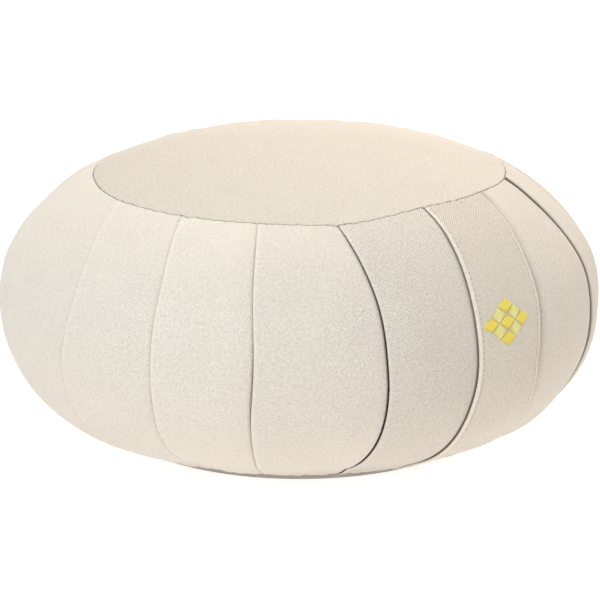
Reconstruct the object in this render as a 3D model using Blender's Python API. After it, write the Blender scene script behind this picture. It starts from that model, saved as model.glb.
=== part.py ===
"""Zafu: a round, firmly filled meditation cushion in cotton twill.

A pleated side wall runs round the filling, a round panel closes it above and
another below, and one topstitched strip covers the join in the wall. The frame
stands on the floor: the origin is under the middle, +Z is up, and the front
faces -Y. Sizes are in metres and angles in degrees.
"""

import math
from collections import namedtuple

import bmesh
import bpy
from mathutils import Vector

MM = 0.001

# Driving sizes of the filled cushion.
WIDTH = 0.360
BELLY_HEIGHT = 0.0825
SEAM_RADIUS = 0.1235
SEAM_HEIGHT = 0.1562
FOOT_RADIUS = 0.1107
FOOT_HEIGHT = 0.0057
CROWN_RISE = 0.0200
CROWN_POWER = 2.6
FLAT_SHARE = 0.90

# The wall's upper and lower halves are elliptical arcs about their own centre radius.
UPPER_CENTRE = 0.100
LOWER_CENTRE = 0.085

# How late a pleat line sweeps from its angle at the belly to those at the two seams.
SEAM_SWEEP = 2.3
FOOT_SWEEP = 1.2

# Cloth sizes. Pieces that touch stay apart by GAP. FOLD is the thickness of a pleat's
# folded edge, and TUCK, in millimetres, is how far its cloth runs back underneath.
# LEDGE is how deep the wall turns in under a round panel's rim, and STRIP_PROUD is how
# far the strip stands out from the wall.
CLOTH = 1.5 * MM
STRIP_CLOTH = 1.2 * MM
FOLD = 1.6 * MM
TUCK = 4.0
GAP = 0.3 * MM
LEDGE = 2.2 * MM
STRIP_PROUD = 0.9 * MM

# Mesh density: rows down the wall, corners of a round panel for each pleat, and points
# between one pleat line's steps and the next, and inside the strip's width.
WALL_ROWS = 16
SEAM_STEPS = 4
MIDDLE_STEPS = 2
STRIP_INSIDE = 5

# Rings of the round panels, each as a share of the way out to the seam.
CROWN_RINGS = [0.94, 0.82, 0.62, 0.34]
SOLE_RINGS = [0.97, 0.94, FLAT_SHARE, 0.45]

RIGHT = "right"
LEFT = "left"
STRIP_EDGE = "strip edge"
STRIP_END = "strip end"

# One row for each pleat line, going right from the front. seam, belly and foot are its
# angles at the top seam, at the widest part and at the bottom seam. reach and rise are
# the top seam's radius and its height above SEAM_HEIGHT there, in millimetres. dip is
# how deep the lower cloth turns in under the fold, and sink how far the fold lies below
# the wall's outline, in millimetres. laps names the side whose fold lies on top.
Pleat = namedtuple("Pleat", "seam belly foot reach rise dip sink laps")
PLEATS = [
    Pleat(-75.0, -66.0, -64.0, 124.3, 0.0, 2.9, 0.5, RIGHT),
    Pleat(-52.8, -45.6, -46.5, 125.6, 0.0, 2.6, 0.4, RIGHT),
    Pleat(-30.2, -25.8, -25.2, 124.2, -0.5, 3.1, 0.5, RIGHT),
    Pleat(-10.1, -7.9, -9.3, 123.9, -0.5, 3.4, 0.6, RIGHT),
    Pleat(9.4, 14.7, 9.9, 125.2, -1.0, 5.2, 0.8, RIGHT),
    Pleat(34.6, 30.7, 26.4, 118.8, 2.0, 3.8, 0.0, STRIP_EDGE),
    Pleat(57.7, 45.7, 43.6, 119.2, 1.5, 0.0, 0.2, STRIP_END),
    Pleat(77.2, 67.0, 60.5, 121.9, 0.0, 6.2, 0.5, LEFT),
    Pleat(97.9, 90.2, 86.0, 123.4, 0.3, 3.2, 0.5, RIGHT),
    Pleat(119.0, 112.6, 110.5, 123.0, -0.3, 4.1, 0.6, RIGHT),
    Pleat(139.3, 135.8, 133.0, 124.1, 0.4, 3.0, 0.5, RIGHT),
    Pleat(160.4, 158.0, 157.5, 123.6, 0.0, 3.6, 0.6, RIGHT),
    Pleat(181.0, 181.1, 179.4, 122.8, -0.4, 4.4, 0.7, RIGHT),
    Pleat(202.2, 203.6, 203.5, 123.9, 0.2, 2.9, 0.5, RIGHT),
    Pleat(222.7, 226.4, 225.8, 124.4, 0.5, 3.5, 0.6, RIGHT),
    Pleat(243.6, 248.9, 249.3, 123.3, -0.2, 4.0, 0.6, RIGHT),
    Pleat(264.0, 271.2, 272.6, 123.8, 0.1, 3.1, 0.5, RIGHT),
]
PLEAT_COUNT = len(PLEATS)
STRIP_PLEAT = next(i for i, pleat in enumerate(PLEATS) if pleat.laps == STRIP_EDGE)

CREAM = (0.84, 0.78, 0.68, 1.0)
PALE_CREAM = (0.86, 0.80, 0.71, 1.0)
SHADED_CREAM = (0.80, 0.73, 0.63, 1.0)


def smooth(value):
    """Eases 0 to 1, and holds outside."""
    value = min(max(value, 0.0), 1.0)
    return value * value * (3.0 - 2.0 * value)


def mix(first, second, share):
    return first + (second - first) * share


def pleat_at(index):
    """The pleat line with this number, and its angles carried past a full turn."""
    turns, place = divmod(index, PLEAT_COUNT)
    pleat = PLEATS[place]
    turn = 360.0 * turns
    return pleat._replace(seam=pleat.seam + turn, belly=pleat.belly + turn, foot=pleat.foot + turn)


def pleat_angle(index, drop):
    """The angle of a pleat line, where drop runs from 0 at the top seam to 1 at the foot."""
    pleat = pleat_at(index)
    if drop < 0.5:
        return mix(pleat.belly, pleat.seam, (1.0 - 2.0 * drop) ** SEAM_SWEEP)
    return mix(pleat.belly, pleat.foot, (2.0 * drop - 1.0) ** FOOT_SWEEP)


def seam_place(angle):
    """Radius and height of the top seam at an angle: eased between the pleat lines."""
    angle = (angle - PLEATS[0].seam) % 360.0 + PLEATS[0].seam
    index = max(i for i in range(PLEAT_COUNT) if PLEATS[i].seam <= angle + 1e-9)
    left, right = pleat_at(index), pleat_at(index + 1)
    share = (angle - left.seam) / (right.seam - left.seam)
    reach = mix(left.reach, right.reach, share) * MM
    rise = mix(left.rise, right.rise, smooth(share)) * MM
    return reach, SEAM_HEIGHT + rise


def arc_half(centre, end_radius, end_height):
    """Half height and end angle of the elliptical arc from the belly to a seam."""
    depth = WIDTH / 2.0 - centre
    run = (end_radius - centre) / depth
    height = abs(end_height - BELLY_HEIGHT) / math.sqrt(1.0 - run * run)
    return depth, height, math.acos(run)


def wall_outline(angle, drop):
    """Radius, height and outward slope of the wall's outline at an angle and a drop."""
    upper = drop < 0.5
    if upper:
        end_radius, end_height, centre = SEAM_RADIUS, SEAM_HEIGHT, UPPER_CENTRE
    else:
        end_radius, end_height, centre = FOOT_RADIUS, FOOT_HEIGHT, LOWER_CENTRE
    depth, height, end_angle = arc_half(centre, end_radius, end_height)
    turn = end_angle * (1.0 - 2.0 * drop)
    radius = centre + depth * math.cos(turn)
    level = BELLY_HEIGHT + height * math.sin(turn)
    if upper:
        reach, seam_height = seam_place(angle)
        near_seam = (1.0 - 2.0 * drop) ** 3
        radius += (reach - SEAM_RADIUS) * near_seam
        level += (seam_height - SEAM_HEIGHT) * near_seam
    slope = Vector((math.cos(turn) * height, math.sin(turn) * depth)).normalized()
    return radius, level, slope


def on_wall(angle, drop, across, out):
    """A point of the wall, moved across to the right and out from the outline by these lengths."""
    moved = angle + math.degrees(across / wall_outline(angle, drop)[0])
    radius, level, slope = wall_outline(moved, drop)
    turn = math.radians(moved)
    radius += slope.x * out
    return Vector((radius * math.sin(turn), -radius * math.cos(turn), level + slope.y * out))


def fullness(drop):
    """How far the folds stand open: shut at both seams, open a little way from them."""
    from_seam = min(drop, 1.0 - drop)
    opened = min(from_seam / 0.10, 1.0) ** 0.6
    return opened * (0.45 + 0.55 * math.sin(math.pi * drop))


def strip_top(drop):
    """How far the strip's outer face stands off the outline: flush at both seams."""
    return STRIP_PROUD * min(fullness(drop) * 1.6, 1.0)


def bed_depth(drop):
    """Where the wall lies under the strip, measured out from the outline."""
    return strip_top(drop) - STRIP_CLOTH - GAP


# The wall goes over each pleat line in ten points. across is measured to the right from
# the visible edge, in millimetres, and out from the wall's outline, in metres.
# SHUT_ACROSS holds their places across at the seams, where the folds are shut.
Step = namedtuple("Step", "across out")
SHUT_ACROSS = [-8.0, -4.0, -2.0, -1.2, -0.6, 0.0, 0.6, 1.2, 3.0, 8.0]


def fold_crossing(pleat, opened):
    """Steps over a fold, from the cloth that turns in under it to the cloth on top."""
    dip, sink, fold = -pleat.dip * opened * MM, -pleat.sink * opened * MM, FOLD * opened
    under = sink - fold
    falling = [Step(-9.0, dip * 0.20), Step(-4.0, dip * 0.52), Step(-1.0, dip * 0.88)]
    tucked = [Step(TUCK * 0.7, dip), Step(TUCK, (dip + under) / 2.0), Step(TUCK * 0.7, under)]
    edge = [Step(0.6, under), Step(-0.2, sink - fold * 0.45), Step(0.7, sink)]
    return [*falling, *tucked, *edge, Step(6.0, sink * 0.4)]


def strip_edge_crossing(pleat, opened, bed):
    """Steps over the place where the wall turns in under the strip's free edge."""
    dip = -pleat.dip * opened * MM
    under = min(dip, bed)
    falling = [Step(-9.0, dip * 0.20), Step(-4.0, dip * 0.52), Step(-1.0, dip * 0.88)]
    lowest = [Step(1.2, dip), Step(2.8, under)]
    rising = [Step(4.2, mix(under, bed, 0.35)), Step(5.6, mix(under, bed, 0.75))]
    return [*falling, *lowest, *rising, Step(7.0, bed), Step(8.5, bed), Step(10.0, bed)]


def strip_end_crossing(pleat, opened, bed):
    """Steps over the place where the strip ends, sewn down on the wall."""
    step = -pleat.sink * opened * MM
    below = [Step(across, bed) for across in (-8.0, -6.0, -4.5, -3.0, -1.5, 0.35)]
    return [*below, Step(0.45, step), Step(1.4, step * 0.8), Step(3.5, step * 0.5), Step(8.0, 0.0)]


def crossing(index, drop):
    """The ten steps over one pleat line, with across in metres too."""
    pleat = pleat_at(index)
    opened = fullness(drop)
    if pleat.laps == STRIP_EDGE:
        steps = strip_edge_crossing(pleat, opened, bed_depth(drop))
    elif pleat.laps == STRIP_END:
        steps = strip_end_crossing(pleat, opened, bed_depth(drop))
    else:
        steps = fold_crossing(pleat, opened)
    if pleat.laps == LEFT:
        steps = [Step(-step.across, step.out) for step in reversed(steps)]
    spread = min(opened * 1.6, 1.0)
    return [Step(mix(shut, step.across, spread) * MM, step.out) for shut, step in zip(SHUT_ACROSS, steps)]


def wall_section(drop):
    """The wall's closed section at one drop, going right round."""
    radius = wall_outline(0.0, drop)[0]
    points = []
    for index in range(PLEAT_COUNT):
        angle = pleat_angle(index, drop)
        steps = crossing(index, drop)
        points += [on_wall(angle, drop, step.across, step.out) for step in steps]
        start = angle + math.degrees(steps[-1].across / radius)
        end = pleat_angle(index + 1, drop) + math.degrees(crossing(index + 1, drop)[0].across / radius)
        out = bed_depth(drop) if index == STRIP_PLEAT else 0.0
        for between in range(1, MIDDLE_STEPS + 1):
            angle = mix(start, end, between / (MIDDLE_STEPS + 1))
            points.append(on_wall(angle, drop, 0.0, out))
    return points


def panel_angles(drop):
    """Angles at which a round panel has its corners: SEAM_STEPS for each pleat."""
    angles = []
    for index in range(PLEAT_COUNT):
        start, end = pleat_angle(index, drop), pleat_angle(index + 1, drop)
        angles += [mix(start, end, step / SEAM_STEPS) for step in range(SEAM_STEPS)]
    return angles


def rim_point(angle, drop, inset, out):
    """A point at a seam, set in towards the middle and out from the outline."""
    radius, level, slope = wall_outline(angle, drop)
    radius += slope.x * out - inset
    turn = math.radians(angle)
    return Vector((radius * math.sin(turn), -radius * math.cos(turn), level + slope.y * out))


def crown_point(angle, share, down):
    """A point of the crowned top, share of the way out to the seam, lowered by down."""
    reach, height = seam_place(angle)
    radius = (reach - GAP) * share
    level = mix(SEAM_HEIGHT, height, share * share) + CROWN_RISE * (1.0 - share**CROWN_POWER)
    turn = math.radians(angle)
    return Vector((radius * math.sin(turn), -radius * math.cos(turn), level - down))


def sole_point(angle, share, up):
    """A point of the underside: flat on the floor in the middle, curving up to the foot seam."""
    radius = (FOOT_RADIUS - GAP) * share
    curl = max(share - FLAT_SHARE, 0.0) / (1.0 - FLAT_SHARE)
    level = FOOT_HEIGHT * curl**2
    turn = math.radians(angle)
    return Vector((radius * math.sin(turn), -radius * math.cos(turn), level + up))


def add_ring(mesh, points):
    return [mesh.verts.new(point) for point in points]


def bridge(mesh, first, second):
    """Quads between two rings of the same count."""
    for i in range(len(first)):
        j = (i + 1) % len(first)
        mesh.faces.new((first[i], first[j], second[j], second[i]))


def bridge_fewer(mesh, many, few):
    """Triangles from a ring of many points down to a ring of few, a whole number to each."""
    each = len(many) // len(few)
    for i, corner in enumerate(few):
        following = few[(i + 1) % len(few)]
        for k in range(each):
            a, b = many[i * each + k], many[(i * each + k + 1) % len(many)]
            mesh.faces.new((a, b, corner if k < each // 2 else following))
        mesh.faces.new((many[i * each + each // 2], following, corner))


def close_fan(mesh, ring, point):
    middle = mesh.verts.new(point)
    for i in range(len(ring)):
        mesh.faces.new((ring[i], ring[(i + 1) % len(ring)], middle))


def finish(name, mesh, material):
    """Makes the object, with its faces turned out and its round stretches shaded smooth."""
    bmesh.ops.recalc_face_normals(mesh, faces=mesh.faces)
    if mesh.calc_volume(signed=True) < 0.0:
        bmesh.ops.reverse_faces(mesh, faces=mesh.faces)
    data = bpy.data.meshes.new(name)
    mesh.to_mesh(data)
    mesh.free()
    data.materials.append(material)
    data.shade_smooth()
    data.set_sharp_from_angle(angle=math.radians(50.0))
    made = bpy.data.objects.new(name, data)
    bpy.context.scene.collection.objects.link(made)
    return made


def make_material(name, colour, roughness):
    material = bpy.data.materials.new(name)
    material.use_nodes = True
    shader = material.node_tree.nodes["Principled BSDF"]
    shader.inputs["Base Color"].default_value = colour
    shader.inputs["Roughness"].default_value = roughness
    shader.inputs["Metallic"].default_value = 0.0
    return material


def row_drop(row):
    """The drop of one of the wall's rows, which lie closer together near both seams."""
    return 0.5 - 0.5 * math.cos(math.pi * row / WALL_ROWS)


def build_filled_wall(material):
    """The filled body, whose outer face is the pleated side wall."""
    mesh = bmesh.new()
    rings = [add_ring(mesh, wall_section(row_drop(row))) for row in range(WALL_ROWS + 1)]
    for upper, lower in zip(rings, rings[1:]):
        bridge(mesh, upper, lower)
    for drop, ring, rounds, point in (
        (0.0, rings[0], CROWN_RINGS, lambda angle, share: crown_point(angle, share, CLOTH + GAP)),
        (1.0, rings[-1], SOLE_RINGS, lambda angle, share: sole_point(angle, share, CLOTH + GAP)),
    ):
        section = [math.degrees(math.atan2(vert.co.x, -vert.co.y)) for vert in ring]
        ledge = add_ring(mesh, [rim_point(angle, drop, 0.0, -LEDGE) for angle in section])
        bridge(mesh, ring, ledge)
        angles = panel_angles(drop)
        inner = add_ring(mesh, [point(angle, rounds[0]) for angle in angles])
        bridge_fewer(mesh, ledge, inner)
        for share in rounds[1:]:
            following = add_ring(mesh, [point(angle, share) for angle in angles])
            bridge(mesh, inner, following)
            inner = following
        close_fan(mesh, inner, point(0.0, 0.0))
    return finish("filled_pleated_wall", mesh, material)


def build_panel(name, drop, rounds, outer, inner, material):
    """A round panel: its outer and inner faces, and the narrow rim between them."""
    mesh = bmesh.new()
    angles = panel_angles(drop)
    rims = []
    for face, out in ((outer, 0.0), (inner, -CLOTH)):
        ring = add_ring(mesh, [rim_point(angle, drop, GAP, out) for angle in angles])
        rims.append(ring)
        for share in rounds:
            following = add_ring(mesh, [face(angle, share) for angle in angles])
            bridge(mesh, ring, following)
            ring = following
        close_fan(mesh, ring, face(0.0, 0.0))
    bridge(mesh, *rims)
    return finish(name, mesh, material)


def strip_section(drop):
    """The strip's closed section: its outer face left to right, then its inner face back."""
    left, right = pleat_angle(STRIP_PLEAT, drop), pleat_angle(STRIP_PLEAT + 1, drop)
    top = strip_top(drop)
    bottom = top - STRIP_CLOTH
    radius = wall_outline(left, drop)[0]
    nose = math.degrees(0.5 * MM / radius)
    inside = [mix(left + nose, right - nose, step / STRIP_INSIDE) for step in range(STRIP_INSIDE + 1)]
    middle = (top + bottom) / 2.0
    outer = [on_wall(angle, drop, 0.0, top) for angle in inside]
    inner = [on_wall(angle, drop, 0.0, bottom) for angle in reversed(inside)]
    return [on_wall(left, drop, 0.0, middle), *outer, on_wall(right, drop, 0.0, middle), *inner]


def close_strip_end(mesh, ring):
    """Closes an end of the strip with quads from its outer face to its inner face."""
    outer = ring[1 : STRIP_INSIDE + 2]
    inner = ring[: -STRIP_INSIDE - 2 : -1]
    mesh.faces.new((ring[0], outer[0], inner[0]))
    for i in range(STRIP_INSIDE):
        mesh.faces.new((outer[i], outer[i + 1], inner[i + 1], inner[i]))
    mesh.faces.new((outer[-1], ring[STRIP_INSIDE + 2], inner[-1]))


def build_strip(material):
    """The topstitched strip that covers the join in the side wall."""
    mesh = bmesh.new()
    rings = [add_ring(mesh, strip_section(row_drop(row))) for row in range(WALL_ROWS + 1)]
    for upper, lower in zip(rings, rings[1:]):
        bridge(mesh, upper, lower)
    close_strip_end(mesh, rings[0])
    close_strip_end(mesh, rings[-1])
    return finish("closure_strip", mesh, material)


def clear_scene():
    for thing in list(bpy.data.objects):
        bpy.data.objects.remove(thing)


def main():
    clear_scene()
    build_filled_wall(make_material("side twill", CREAM, 0.9))
    build_strip(make_material("strip twill", SHADED_CREAM, 0.9))
    build_panel(
        "top_panel",
        0.0,
        CROWN_RINGS,
        lambda angle, share: crown_point(angle, share, 0.0),
        lambda angle, share: crown_point(angle, share, CLOTH),
        make_material("top twill", PALE_CREAM, 0.9),
    )
    build_panel(
        "bottom_panel",
        1.0,
        SOLE_RINGS,
        lambda angle, share: sole_point(angle, share, 0.0),
        lambda angle, share: sole_point(angle, share, CLOTH),
        make_material("bottom twill", CREAM, 0.9),
    )


main()
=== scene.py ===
"""Looks of a zafu: a round, firmly filled meditation cushion in cream cotton twill.

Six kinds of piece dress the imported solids: the side wall in knife pleats, the crowned top
panel, the flat bottom panel, the topstitched closing strip, its small stitched ornament,
and the sewing of both seams and of the strip. Lengths are in metres and angles in degrees,
unless a name says millimetres. The origin is under the middle, +Z is up and the front
faces -Y. An angle of 0 is the front, and angles grow to the right.
"""

import logging
import math
from dataclasses import dataclass, field
from enum import Enum
from functools import cached_property
from typing import ClassVar

import bmesh
import bpy
import numpy as np
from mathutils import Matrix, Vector


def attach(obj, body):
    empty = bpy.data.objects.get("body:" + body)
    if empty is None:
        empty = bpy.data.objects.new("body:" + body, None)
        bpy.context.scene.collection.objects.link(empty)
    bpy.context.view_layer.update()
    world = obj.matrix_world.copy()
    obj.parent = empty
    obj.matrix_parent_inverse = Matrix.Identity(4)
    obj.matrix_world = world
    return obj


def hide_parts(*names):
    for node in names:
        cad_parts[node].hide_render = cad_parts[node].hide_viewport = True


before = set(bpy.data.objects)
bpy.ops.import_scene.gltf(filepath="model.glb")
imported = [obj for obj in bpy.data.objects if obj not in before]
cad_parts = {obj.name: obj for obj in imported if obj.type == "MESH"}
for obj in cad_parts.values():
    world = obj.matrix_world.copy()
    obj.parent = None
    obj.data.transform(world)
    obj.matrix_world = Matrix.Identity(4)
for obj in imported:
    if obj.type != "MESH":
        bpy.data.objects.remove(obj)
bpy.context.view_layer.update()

LOG = logging.getLogger("zafu")
MM = 0.001
FULL_TURN = 360.0
BODY = "root"
WALL_NODE = "filled_pleated_wall"
CLOTH_MAP = "cloth"
UP = np.array((0.0, 0.0, 1.0))
Array = np.ndarray
Colour = tuple[float, float, float]


def eased(value: Array) -> Array:
    """Eases 0 to 1, and holds outside."""
    held = np.clip(value, 0.0, 1.0)
    return held * held * (3.0 - 2.0 * held)


def mixed(first: Array, second: Array, share: Array) -> Array:
    """Goes from the first value to the second as share goes from 0 to 1."""
    return first + (second - first) * share


def hump(share: Array) -> Array:
    """0 at 0 and at 1, rising to 1 halfway, and 0 outside."""
    return np.sin(math.pi * np.clip(share, 0.0, 1.0))


def above_belly(drop: Array) -> Array:
    """1 at the top seam, falling to 0 at the belly and below it."""
    return np.clip(1.0 - 2.0 * drop, 0.0, 1.0)


def below_belly(drop: Array) -> Array:
    """0 down to the belly, rising to 1 at the foot seam."""
    return np.clip(2.0 * drop - 1.0, 0.0, 1.0)


def angle_round(points: Array) -> Array:
    """The angle round the cushion of each point, with x, y and z on the last axis."""
    return np.degrees(np.arctan2(points[..., 0], -points[..., 1]))


class Lap(Enum):
    """What closes a pleat line: the side whose fold lies on top, or an edge of the strip."""

    RIGHT = "right"
    LEFT = "left"
    STRIP_EDGE = "strip edge"
    STRIP_END = "strip end"


@dataclass(frozen=True)
class PleatLine:
    """One pleat line of the side wall.

    seam, belly and foot are its angles at the top seam, at the widest part and at the bottom
    seam. swell and bow are how far it swings to the right halfway above and halfway below the
    belly. reach and rise are the top seam's radius and its height above the usual one there,
    dip is how deep the lower cloth turns in under the fold, and sink how far the fold lies
    below the wall's outline, all four in millimetres. tone is how much lighter the cloth to
    its right is than the rest: painted light and shade on the panels in front, and a random
    tone on the others. shade is the strength of the painted shade inside the fold, and gape
    how much stronger that painted shade is, and how much deeper the fold, about the drop where
    it stands open.
    """

    seam: float
    belly: float
    foot: float
    reach: float
    rise: float
    dip: float
    sink: float
    lap: Lap = Lap.RIGHT
    tone: float = 0.0
    shade: float = 0.5
    gape: float = 0.0
    gape_at: float = 0.45
    gape_spread: float = 0.22
    swell: float = 0.0
    bow: float = 0.0

    def open_share(self, drop: Array) -> Array:
        """How far the line gapes at each drop, as a share of its shade."""
        return self.gape * np.exp(-(((drop - self.gape_at) / self.gape_spread) ** 2))


# The tones of the panels in front are painted light and shade, those of the others a random tone.
PLEATS = (
    PleatLine(-75.0, -66.0, -64.0, 122.6, 0.0, 1.8, 0.3, tone=0.020, shade=0.20),
    PleatLine(-52.8, -45.3, -46.5, 125.2, 0.0, 1.6, 0.3, tone=0.035, shade=0.15, swell=1.5),
    PleatLine(-30.2, -25.6, -25.2, 124.2, -0.5, 2.2, 0.5, tone=0.055, shade=0.30, swell=0.5),
    PleatLine(
        -10.1, -7.6, -9.9, 123.9, -0.5, 3.0, 0.6, tone=0.025, shade=0.32, gape=0.80, gape_at=0.50,
        gape_spread=0.09
    ),
    PleatLine(9.4, 15.2, 10.9, 125.2, -1.0, 4.6, 0.8, tone=-0.045, shade=0.58, gape=0.50, swell=-0.2),
    PleatLine(34.5, 31.1, 27.0, 118.8, 2.0, 1.3, 0.0, Lap.STRIP_EDGE, shade=0.64, swell=0.6, bow=-0.2),
    PleatLine(57.4, 45.4, 45.6, 119.2, 1.5, 0.0, 1.8, Lap.STRIP_END, tone=0.010, shade=1.0, swell=1.1),
    PleatLine(
        77.2, 67.4, 60.5, 121.9, 0.0, 3.4, 0.5, Lap.LEFT, tone=0.045, shade=1.0, gape=0.4, gape_at=0.42,
        gape_spread=0.08, swell=1.6
    ),
    PleatLine(97.9, 90.2, 86.0, 123.4, 0.3, 2.6, 0.5, tone=-0.010),
    PleatLine(119.0, 112.6, 110.5, 123.0, -0.3, 3.6, 0.6, tone=0.015, gape=0.3),
    PleatLine(139.3, 135.8, 133.0, 124.1, 0.4, 2.5, 0.5, tone=-0.020, shade=0.30),
    PleatLine(160.4, 158.0, 157.5, 123.6, 0.0, 3.1, 0.6, tone=0.010),
    PleatLine(181.0, 181.1, 179.4, 122.8, -0.4, 4.0, 0.7, tone=-0.015, gape=0.4, gape_at=0.52),
    PleatLine(202.2, 203.6, 203.5, 123.9, 0.2, 2.5, 0.5, tone=0.020, shade=0.35),
    PleatLine(222.7, 226.4, 225.8, 122.6, -0.6, 3.0, 0.6, tone=-0.010),
    PleatLine(243.6, 248.9, 249.3, 121.6, -0.8, 3.5, 0.6, tone=0.010, gape=0.3, gape_at=0.40),
    PleatLine(264.0, 271.2, 272.6, 122.4, 0.1, 2.6, 0.5, tone=0.035, shade=0.30),
)
STRIP_LINE = next(i for i, pleat in enumerate(PLEATS) if pleat.lap is Lap.STRIP_EDGE)


@dataclass(frozen=True)
class CushionForm:
    """The filled cushion's outline, with the same driving sizes as its solids.

    A place on the side wall is an angle and a drop, which runs from 0 at the top seam to 1
    at the foot seam. The wall's upper and lower halves are elliptical arcs, each about a
    centre radius of its own. The filling has settled: at both sides the shoulder sags and the
    flank bulges under it. Over the foot the front is tucked in, so that its seam shows, and
    the foot seam spreads a little at both sides.

    left_bulge is how much more the left flank bulges, and how much less the right one, as a
    share. Pleat lines waver by a sine of the drop. Folds are shut at both seams. They open
    over opening_reach, to a fullness that grows from seam_fullness to 1 at the belly.
    """

    width: float = 0.360
    belly_height: float = 0.0825
    seam_radius: float = 0.1235
    seam_height: float = 0.1562
    foot_radius: float = 0.1107
    foot_height: float = 0.0057
    crown_rise: float = 0.0190
    crown_power: float = 2.6
    flat_share: float = 0.925
    curl_power: float = 1.1
    upper_centre: float = 0.100
    lower_centre: float = 0.085
    seam_sweep: float = 2.3
    foot_sweep: float = 1.2
    shoulder_sag: float = 2.6 * MM
    sag_to: float = 0.34
    flank_bulge: float = 1.8 * MM
    left_bulge: float = 0.4
    tuck: float = 3.5 * MM
    tuck_from: float = 0.62
    tuck_most: float = 0.90
    tuck_middle: float = 5.0
    tuck_reach: float = 58.0
    tuck_fade: float = 26.0
    foot_lift: float = -0.4 * MM
    front_lift: float = 1.3 * MM
    foot_spread: float = 13.0 * MM
    most_spread: float = 6.0 * MM
    waver: float = 0.20
    waver_rate: float = 17.0
    waver_shift: float = 2.4
    lining_depth: float = 1.8 * MM
    gap: float = 0.3 * MM
    strip_proud: float = 0.9 * MM
    strip_cloth: float = 1.2 * MM
    strip_steepness: float = 1.6
    shut_share: float = 0.22
    opening_reach: float = 0.10
    opening_power: float = 0.6
    seam_fullness: float = 0.45
    measured_places: int = 401
    pleats: tuple[PleatLine, ...] = PLEATS

    def pleat_angle(self, index: int, drop: Array) -> Array:
        """The angle of a pleat line at each drop.

        Args:
            index: The line's number, which may run past the last one, into the next turn.
            drop: Places down the wall.

        Returns:
            The angles, carried past a full turn where the index is.
        """
        turns, place = divmod(index, len(self.pleats))
        pleat = self.pleats[place]
        upper = above_belly(drop) ** self.seam_sweep
        lower = below_belly(drop) ** self.foot_sweep
        swept = pleat.belly + (pleat.seam - pleat.belly) * upper + (pleat.foot - pleat.belly) * lower
        swung = pleat.swell * hump(2.0 * drop) + pleat.bow * hump(2.0 * drop - 1.0)
        waver = self.waver * np.sin(self.waver_rate * drop + self.waver_shift * place) * hump(drop)
        return swept + swung + waver + FULL_TURN * turns

    def seam_place(self, angle: Array) -> tuple[Array, Array]:
        """Radius and height of the top seam at each angle, eased between the pleat lines.

        Args:
            angle: Angles round the cushion.

        Returns:
            The radius and the height of the seam.
        """
        count = len(self.pleats)
        rows = [self.pleats[i % count] for i in range(count + 1)]
        corners = np.array([row.seam for row in rows])
        corners[-1] += FULL_TURN
        reaches = np.array([row.reach for row in rows]) * MM
        rises = np.array([row.rise for row in rows]) * MM
        around = (angle - corners[0]) % FULL_TURN + corners[0]
        index = np.clip(np.searchsorted(corners, around, side="right") - 1, 0, count - 1)
        share = (around - corners[index]) / (corners[index + 1] - corners[index])
        reach = mixed(reaches[index], reaches[index + 1], share)
        return reach, self.seam_height + mixed(rises[index], rises[index + 1], eased(share))

    def foot_place(self, angle: Array) -> tuple[Array, Array]:
        """How far the foot seam lies from its usual place.

        Args:
            angle: Angles round the cushion.

        Returns:
            How much wider and how much higher it is at each angle.
        """
        turn = np.radians(angle)
        wider = np.minimum(self.foot_spread * np.sin(turn) ** 2, self.most_spread)
        return wider, self.foot_lift + self.front_lift * np.cos(turn)

    def settled(self, angle: Array, drop: Array) -> Array:
        """How far the settled filling pushes the wall out, sags from it, or leaves it tucked in.

        Args:
            angle: Angles round the cushion.
            drop: Places down the wall.

        Returns:
            The lengths, outwards.
        """
        side = np.sin(np.radians(angle))
        sag = -self.shoulder_sag * hump(drop / self.sag_to)
        bulge = self.flank_bulge * hump(2.0 * drop - 1.0) * (1.0 - self.left_bulge * side)
        from_middle = np.abs((angle - self.tuck_middle + FULL_TURN / 2.0) % FULL_TURN - FULL_TURN / 2.0)
        front = eased((self.tuck_reach - from_middle) / self.tuck_fade)
        above = eased((drop - self.tuck_from) / (self.tuck_most - self.tuck_from))
        below = eased((1.0 - drop) / (1.0 - self.tuck_most))
        return side * side * (sag + bulge) - self.tuck * front * np.minimum(above, below)

    def arc(self, upper: Array) -> tuple[Array, Array, Array, Array]:
        """The elliptical arc of the wall's upper or lower half.

        Args:
            upper: Whether each place is above the belly.

        Returns:
            The radius of its centre, its depth from there to the belly, its full height, and
            the turn that it spans from the belly to the seam.
        """
        centre = np.where(upper, self.upper_centre, self.lower_centre)
        end_radius = np.where(upper, self.seam_radius, self.foot_radius)
        end_height = np.where(upper, self.seam_height, self.foot_height)
        depth = self.width / 2.0 - centre
        run = (end_radius - centre) / depth
        height = np.abs(end_height - self.belly_height) / np.sqrt(1.0 - run * run)
        return centre, depth, height, np.arccos(run)

    def outline(self, angle: Array, drop: Array) -> tuple[Array, Array, Array]:
        """The wall's outline.

        Args:
            angle: Angles round the cushion.
            drop: Places down the wall.

        Returns:
            Radius, height, and the outward normal in the upright plane through the axis.
        """
        angle, drop = np.broadcast_arrays(np.asarray(angle, float), np.asarray(drop, float))
        centre, depth, height, span = self.arc(drop < 0.5)
        turn = span * (1.0 - 2.0 * drop)
        near_seam, near_foot = above_belly(drop) ** 3, below_belly(drop) ** 3
        reach, seam_height = self.seam_place(angle)
        wider, higher = self.foot_place(angle)
        radius = centre + depth * np.cos(turn) + (reach - self.seam_radius) * near_seam + wider * near_foot
        level = self.belly_height + height * np.sin(turn)
        level = level + (seam_height - self.seam_height) * near_seam + higher * near_foot
        normal = np.stack((np.cos(turn) * height, np.sin(turn) * depth), axis=-1)
        normal = normal / np.linalg.norm(normal, axis=-1, keepdims=True)
        out = self.settled(angle, drop)
        return radius + normal[..., 0] * out, level + normal[..., 1] * out, normal

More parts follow.
